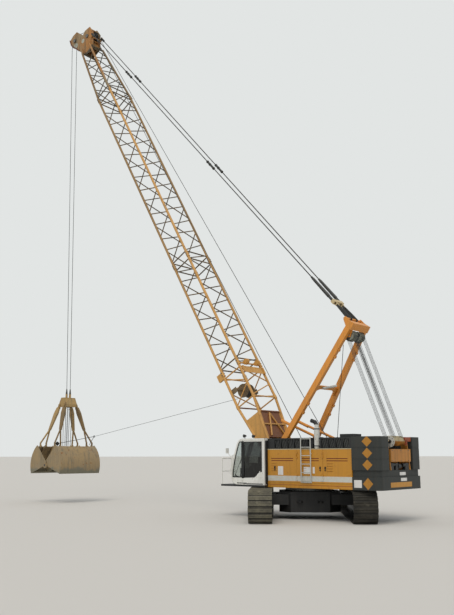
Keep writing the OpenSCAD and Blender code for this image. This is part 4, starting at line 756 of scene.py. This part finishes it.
def wrap(shape, centre, radius, first, last, thick, steps, sides=6):
    """Adds a rope bent round an axis along Y, between two angles from +X towards +Z in degrees."""
    a = math.radians(first)
    out = Vector((math.cos(a), 0, math.sin(a)))
    turn = Vector((-math.sin(a), 0, math.cos(a))).to_track_quat("Z", "Y").to_matrix().to_4x4()
    ring = bmesh.ops.create_circle(shape, cap_ends=False, segments=sides, radius=thick,
                                   matrix=Matrix.Translation(centre + out * radius) @ turn)["verts"]
    edges = list(dict.fromkeys(edge for vert in ring for edge in vert.link_edges))
    bmesh.ops.spin(shape, geom=ring + edges, cent=centre, axis=(0, 1, 0), dvec=(0, 0, 0),
                   angle=math.radians(first - last), steps=steps)


# Sandy enamel, half glossy where it is clean. The head's is weathered, dull and blotchy, the tagline
# winch is brown with oil, and the gantry's enamel is newer and brighter.
boom_sand = ("#cf9c50 #c19150 #78633f #7a4520", 0.6, 0.45, 0.4, 0.5)
boom_paint = painted_steel("sandy_orange_boom_enamel", *boom_sand)
laced_paint = painted_steel("sandy_boom_enamel_with_dark_lacing_and_chord_shade", *boom_sand)
foot_paint = painted_steel("sandy_orange_foot_enamel_with_painted_inner_shade", *boom_sand)
head_paint = painted_steel("weathered_head_enamel", "#b07a3c #8d8266 #4f4230 #5e2a16", 0.9, 0.85, 1.0, 0.6)
oily_paint = painted_steel("oily_brown_winch_enamel", "#7d6a4c #6d604b #33302a #54301c", 0.7, 0.7, 0.6, 0.6)
gantry_paint = painted_steel("orange_gantry_enamel", "#dd9238 #cf8a3a #8a6a3c #7a4520", 0.5, 0.35, 0.35, 0.45)
# Besides the dark lacing, both get painted shade on two chords below the head.
lace(laced_paint, "#6f5a3a", "#4a4132")
lace(head_paint, "#5f523a", "#433d30")
# Painted shade: the inside of the boom foot is darkened to red-brown.
recoloured(foot_paint, at(0.3, -0.6, 2.75), at(3.2, 0.6, 4.3), "#73431f")
dress(laced_paint, "boom_short_section", "boom_long_section")
dress(foot_paint, "boom_foot")
dress(head_paint, "boom_head")
dress(oily_paint, "tagline_winch")
dress(gantry_paint, "gantry_legs", "gantry_head", "backstops")
dress(drum_paint, "head_sheaves", "grab_sheaves")

axle_places = ((27.2, 0.32), (27.85, -0.59))
head_axle, forward_axle = (boom_place @ Vector((s, 0, n)) for s, n in axle_places)
rope_r, rope_y, groove_r = 0.013, 0.16, 0.379

shape = bmesh.new()
for s in section_ends:
    for y in (-chord_y, chord_y):
        for n in (-chord_n, chord_n):
            for x in (s - 0.06, s + 0.06):
                for a, b, r in ((-0.1, 0.1, 0.026), (-0.112, -0.098, 0.04)):
                    rod(shape, (x, y + a, n), (x, y + b, n), r, 10, boom_place)
for s, n in axle_places:
    for side in (1, -1):
        rod(shape, (s, side * 0.27, n), (s, side * 0.325, n), 0.105, 20, boom_place)
        bolt_circle(shape, Vector((s, side * 0.32, n)), 0.08, 6, side * 0.014, 0.012, boom_place)
piece("boom_pins", shape, greased_steel, "boom")

shape = bmesh.new()
for s, n, y in ((27.28, 0.74, 0.26), (27.6, 0.5, 0.26), (28.17, -0.23, 0.26), (28.2, -0.89, 0.26),
                (26.7, 0.45, 0.27), (27.5, -0.81, 0.26)):
    rod(shape, (s, -y, n), (s, y, n), 0.035, 12, boom_place)
piece("head_tie_bars", shape, head_paint, "boom")
# The sheaves' faces are worn pale and dry, and the guards round them are red with rust.
worn_paint = painted_steel("pale_worn_sheave_face", "#b3b5a6 #a3a698 #5f5b4e #5e2a16", 0.7, 0.6, 0.7, 0.5)
rusty_paint = painted_steel("rust_red_guard_enamel", "#5e2e1f #6d3a24 #33261e #7a4520", 0.7, 0.6, 0.7, 0.7)
shape, rims = bmesh.new(), bmesh.new()
for side in (1, -1):
    for s, n, r in ((27.5, -0.675, 0.17), (27.25, -0.09, 0.13)):
        rod(shape, (s, side * 0.268, n), (s, side * 0.277, n), r, 32, boom_place)
    rim = [(s, side * 0.285, n) for s, n in ((28.23, -0.9), (27.83, -0.94), (26.96, -0.6))]
    for start, end in zip(rim, rim[1:]):
        rod(rims, start, end, 0.03, 10, boom_place)
piece("sheave_faces", shape, worn_paint, "boom")
piece("head_rims", rims, rusty_paint, "boom")

roller_s = 4.6
shape = bmesh.new()
for y in (0.36, -0.36):
    rod(shape, (roller_s, y - 0.05, 0.64), (roller_s, y + 0.05, 0.64), 0.13, 24, boom_place)
    for step in (-0.07, 0.055):
        box(shape, (roller_s - 0.08, y + step, 0.5), (roller_s + 0.08, y + step + 0.015, 0.7), boom_place)
rod(shape, (roller_s, -chord_y, 0.515), (roller_s, chord_y, 0.515), 0.035, 12, boom_place)
box(shape, (4.12, -0.7, 0.545), (4.42, 0.7, 0.56), boom_place)
for y in (-0.66, 0.66):
    box(shape, (4.12, y - 0.04, 0.535), (4.42, y + 0.04, 0.6), boom_place)
for y in (0.7, 0.775):
    box(shape, (4.42, y, -0.78), (4.74, y + 0.015, -0.5), boom_place)
rod(shape, (roller_s, 0.715, -0.66), (roller_s, 0.78, -0.66), 0.11, 20, boom_place)
piece("rope_guide_rollers", shape, boom_paint, "boom")
shape = bmesh.new()
for start, end in (((2.25, 0.08, 0.4), (1.25, 0.42, 0.27)), ((2.25, 0.08, 0.4), (1.25, -0.5, 0.27)),
                   ((1.75, -0.68, 0.33), (1.75, 0.68, 0.33))):
    rod(shape, start, end, 0.035, 10, boom_place)
piece("foot_braces", shape, boom_paint, "boom")

over_deg, lift = 95.5, Vector((-0.0966, 0, 0.9953)) * groove_r
shape, last_wraps = bmesh.new(), bmesh.new()
for y in (-rope_y, rope_y):
    aside = Vector((0, y, 0))
    wrap(shape, head_axle + aside, groove_r, 152, over_deg, rope_r, 10, 8)
    rod(shape, head_axle + aside + lift, forward_axle + aside + lift, rope_r, 8)
    wrap(last_wraps, forward_axle + aside, groove_r, over_deg, 0, rope_r, 14, 8)
rope("head_rope_wraps", shape, "boom")
wraps = rope("forward_rope_wraps", last_wraps)
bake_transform(wraps)

drum_rope_r, rope_side = 0.268, Vector((-0.877, 0, 0.48))
shape = bmesh.new()
for (x, z), side in zip(winch_axles, (1, -1)):
    rod(shape, at(x, side * 0.1, z) + rope_side * drum_rope_r,
        head_axle + Vector((0, side * rope_y, 0)) + rope_side * groove_r, rope_r, 8)
ropes = rope("hoist_ropes", shape)
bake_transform(ropes)

# PENDANTS
# Forged bars between the gantry and the boom head, matte black, pinned end to end at thick collars.
# The yoke at their foot is cut from plate and sprayed cream.
black_bar = painted_steel("black_forged_bar", "#222423 #323432 #4a4740 #54402f", 0.6, 0.3, 0.4, 0.5)
cream_yoke = painted_steel("cream_yoke_enamel", "#c9b68c #bba77f #7d735c #6d4a34", 0.6, 0.4, 0.4, 0.5)
dress(black_bar, "pendants", "gantry_links")
dress(cream_yoke, "pendant_yoke")
pendant_deg, pendant_len = -48.34, 23.232
pendant_place = Matrix.Translation(at(-1.59, 0, 8.165)) @ Matrix.Rotation(math.radians(pendant_deg), 4, "Y")
shape = bmesh.new()
for side in (1, -1):
    rod(shape, (0, side * 0.14, 0), (0, side * 0.262, 0), 0.034, 12, pendant_place)
    for x in (9.5, 9.83, 10.05, 18.2, 18.53, 18.75):
        y = side * (0.25 + 0.09 * x / pendant_len)
        rod(shape, (x, y, 0), (x + 0.06, y, 0), 0.066, 12, pendant_place)
    for x, end, r in ((0.42, 1.5, 0.07), (1.5, 1.62, 0.05)):
        y, y_end = (side * (0.25 + 0.09 * v / pendant_len) for v in (x, end))
        rod(shape, (x, y, 0), (end, y_end, 0), r, 12, pendant_place, r * 0.8)
piece("pendant_collars", shape, black_bar, "pendants")

# LUFFING TACKLE
# Sixteen falls of rope between the gantry's sheaves and the lower block behind the rear winch.
# The gantry is two welded box beams with small brackets. The block is sprayed cream over orange,
# the pulleys dull grey-green.
block_paint = painted_steel("cream_block_enamel", "#c6bb9b #b3a786 #6d6350 #7a4520", 0.6, 0.5, 0.5, 0.5)
pulley_paint = painted_steel("grey_green_pulley_enamel", "#8d9286 #7d8277 #4a4a42 #54402f", 0.7, 0.5, 0.4, 0.5)
recoloured(block_paint, at(-4.4, -1, 2.2), at(-3.3, 1, 2.84), "#a8702c")
dress(block_paint, "tackle_block")
dress(pulley_paint, "gantry_sheaves")
gantry_deg, gantry_len, gantry_foot_y, gantry_head_y = -123.2, 5.56, 1.08, 0.52
gantry_place = Matrix.Translation(at(0.62, 0, 2.55)) @ Matrix.Rotation(math.radians(gantry_deg), 4, "Y")
lower_axle, upper_axle = at(-3.8, 0, 2.85), gantry_place @ Vector((5.16, 0, 0.11))
lower_r, upper_r, fall_r = 0.159, 0.169, 0.008
fall_ys = [side * (0.15 + 0.08 * i) for side in (-1, 1) for i in range(4)]
way = (upper_axle - lower_axle).normalized()
aside = Vector((-way.z, 0, way.x))
aside_deg = math.degrees(math.atan2(aside.z, aside.x))
shape, low_wraps, high_wraps = bmesh.new(), bmesh.new(), bmesh.new()
for y in fall_ys:
    low, high = lower_axle + Vector((0, y, 0)), upper_axle + Vector((0, y, 0))
    for side in (1, -1):
        rod(shape, low + aside * side * lower_r, high + aside * side * upper_r, fall_r, 6)
    wrap(low_wraps, low, lower_r, aside_deg, aside_deg + 180, fall_r, 12)
    wrap(high_wraps, high, upper_r, aside_deg - 180, aside_deg, fall_r, 12)
falls = rope("luffing_falls", shape)
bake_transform(falls)
rope("lower_fall_wraps", low_wraps, "upper")
rope("upper_fall_wraps", high_wraps, "gantry")

shape = bmesh.new()
for side in (1, -1):
    mirrored = gantry_place @ Matrix.Diagonal((1, side, 1, 1))
    for s in (1.75, 2.15, 4.2, 4.5):
        y = gantry_foot_y - (gantry_foot_y - gantry_head_y) * s / gantry_len
        box(shape, (s - 0.05, y - 0.05, 0.105), (s + 0.05, y + 0.05, 0.165), mirrored)
    rod(shape, (0, side * 1.02, 0), (0, side * 1.15, 0), 0.055, 16, gantry_place)
    for s in (5.45, 5.6):
        box(shape, (s - 0.03, 0.3, -0.12), (s + 0.03, 0.36, -0.16), mirrored)
piece("gantry_brackets", shape, gantry_paint, "gantry")
shape = bmesh.new()
rod(shape, (2.83, 0.35, 0.075), (3.0, -0.45, 0.075), 0.045, 12, gantry_place)
piece("gantry_pale_tube", shape, pale_guard, "gantry")
shape = bmesh.new()
for y in fall_ys:
    for side in (-0.036, 0.036):
        box(shape, (4.94, y + side - 0.004, 0.02), (5.3, y + side + 0.004, 0.2), gantry_place)
piece("sheave_guards", shape, deck_paint, "gantry")
shape = bmesh.new()
rod(shape, gantry_place @ Vector((4.75, 0.53, 0.13)), at(-1.72, 0.55, 2.985), 0.012, 6)
cable = piece("gantry_cable", shape, black_rubber, None)
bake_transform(cable)

# GRAB
# Two jaws and four arms of welded plate, pinned to a head and to the block that the closing ropes lift.
# Their sand enamel is worn through and rusty at the edges, and the block is dark with grease.
# The jaws' lower halves are scraped grey by the stone that they dig.
grab_x = 15.23495
grab_paint = painted_steel("worn_sand_grab_enamel", "#b0905a #a08a62 #6f6752 #73401f", 0.8, 0.65, 0.9, 0.65)
# The rear arms get a darker copy of the grab's enamel: painted shade.
shaded_paint = painted_steel("shade_darkened_arm_enamel", "#8f7246 #7b6a4c #4a4334 #6a3a1f", 0.8, 0.7, 0.9, 0.65)
jaw_paint = painted_steel("scraped_sand_jaw_enamel", "#a28a62 #938368 #6d6756 #8a5a2c", 0.9, 0.8, 0.9, 0.65)
recoloured(grab_paint, at(grab_x - 0.3, -0.3, 5.5), at(grab_x + 0.3, 0.3, 6.2), "#39352b")
scrape_low, scrape_high, scrape_uneven = 1.62, 1.75, 0.12
tree, place, parts = opened(jaw_paint)
patches = add(tree, "TexNoise", {"Vector": place, "Scale": 3.0, "Detail": 8.0})
edge = add(tree, "MapRange", {0: patches.outputs[0], 1: 0.3, 2: 0.7, 3: -scrape_uneven, 4: scrape_uneven})
level = add(tree, "Math", {0: parts["Z"], 1: edge.outputs[0]}, operation="ADD")
scraped = add(tree, "MapRange", {0: level.outputs[0], 1: scrape_high, 2: scrape_low, 3: 0.0, 4: 0.75})
repaint(jaw_paint, scraped.outputs[0], "#6b6e62")
dress(grab_paint, "grab_head", "grab_arms_front")
dress(shaded_paint, "grab_arms_rear")
dress(jaw_paint, "grab_jaw_front", "grab_jaw_rear")
dress(drum_paint, "grab_block")

rope_top = forward_axle + Vector((groove_r, 0, 0))
shape = bmesh.new()
for side in (1, -1):
    over, knee = (rope_top + Vector((0, side * rope_y, z)) for z in (0, -0.5))
    rod(shape, knee, over, rope_r, 8)
    rod(shape, at(grab_x, side * 0.11, 5.76), knee, rope_r, 8)
ropes = rope("grab_hanging_ropes", shape)
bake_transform(ropes)
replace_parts(ropes, "grab_ropes")

high_z, high_r, low_z, low_r = 4.99, 0.166, 2.1, 0.126
shape, high_wraps, low_wraps = bmesh.new(), bmesh.new(), bmesh.new()
for high_y, low_y in ((-0.15, -0.12), (0, 0), (0.15, 0.12)):
    for side in (1, -1):
        rod(shape, at(grab_x + side * low_r, low_y, low_z), at(grab_x + side * high_r, high_y, high_z), rope_r, 6)
    wrap(high_wraps, at(grab_x, high_y, high_z), high_r, 0, 180, rope_r, 12)
    wrap(low_wraps, at(grab_x, low_y, low_z), low_r, 180, 360, rope_r, 12)
ropes = rope("closing_ropes", shape)
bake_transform(ropes)
rope("head_closing_wraps", high_wraps, "grab_head")
rope("block_closing_wraps", low_wraps, "grab_block")

# TAGLINE
# A thin rope from its winch on the boom to a ring behind the grab, with a two-leg bridle.
# One leg ends in a rubber ball on the left rear foot, the other at the right one.
ring_at, ball_at, foot_at = at(14.25, -1.01, 3.31), at(14.66, 1.01, 2.93), at(14.64, -1.01, 2.87)
ring_r, line_r = 0.05, 0.008
shape = bmesh.new()
ring = [ring_at + Vector((ring_r * math.cos(a), 0, ring_r * math.sin(a)))
        for a in (math.radians(30 * i) for i in range(13))]
for start, end in zip(ring, ring[1:]):
    rod(shape, start, end, 0.012, 6)
for far in (ball_at, foot_at):
    rod(shape, ring_at, far, rope_r, 6)
bridle = rope("tagline_bridle", shape)
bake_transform(bridle)
shape = bmesh.new()
bmesh.ops.create_uvsphere(shape, u_segments=24, v_segments=16, radius=0.09, matrix=Matrix.Translation(ball_at))
for face in shape.faces:
    face.smooth = True
rod(shape, ball_at - Vector((0, 0, 0.11)), ball_at + Vector((0, 0, 0.1)), 0.03, 12)
piece("bridle_ball", shape, black_rubber, "grab_arms_rear")
low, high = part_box("tagline_winch")
drum_at = (low + high) / 2
away = (ring_at - drum_at).normalized()
shape = bmesh.new()
winding(shape, drum_at, 0.22, -0.17, 0.17, 2 * line_r)
rope("tagline_winding", shape, "boom")
off_drum = drum_at + Vector((away.z, 0, -away.x)).normalized() * 0.236
joined = off_drum.lerp(ring_at, 0.56)
for name, start, end, near, far in (("tagline_by_boom", off_drum, joined, "boom", "hoist_lines"),
                                    ("tagline_by_grab", joined, ring_at, "hoist_lines", "grab_head")):
    shape = bmesh.new()
    rod(shape, start, end, line_r, 6)
    line = rope(name, shape)
    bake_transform(line)

low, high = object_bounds()
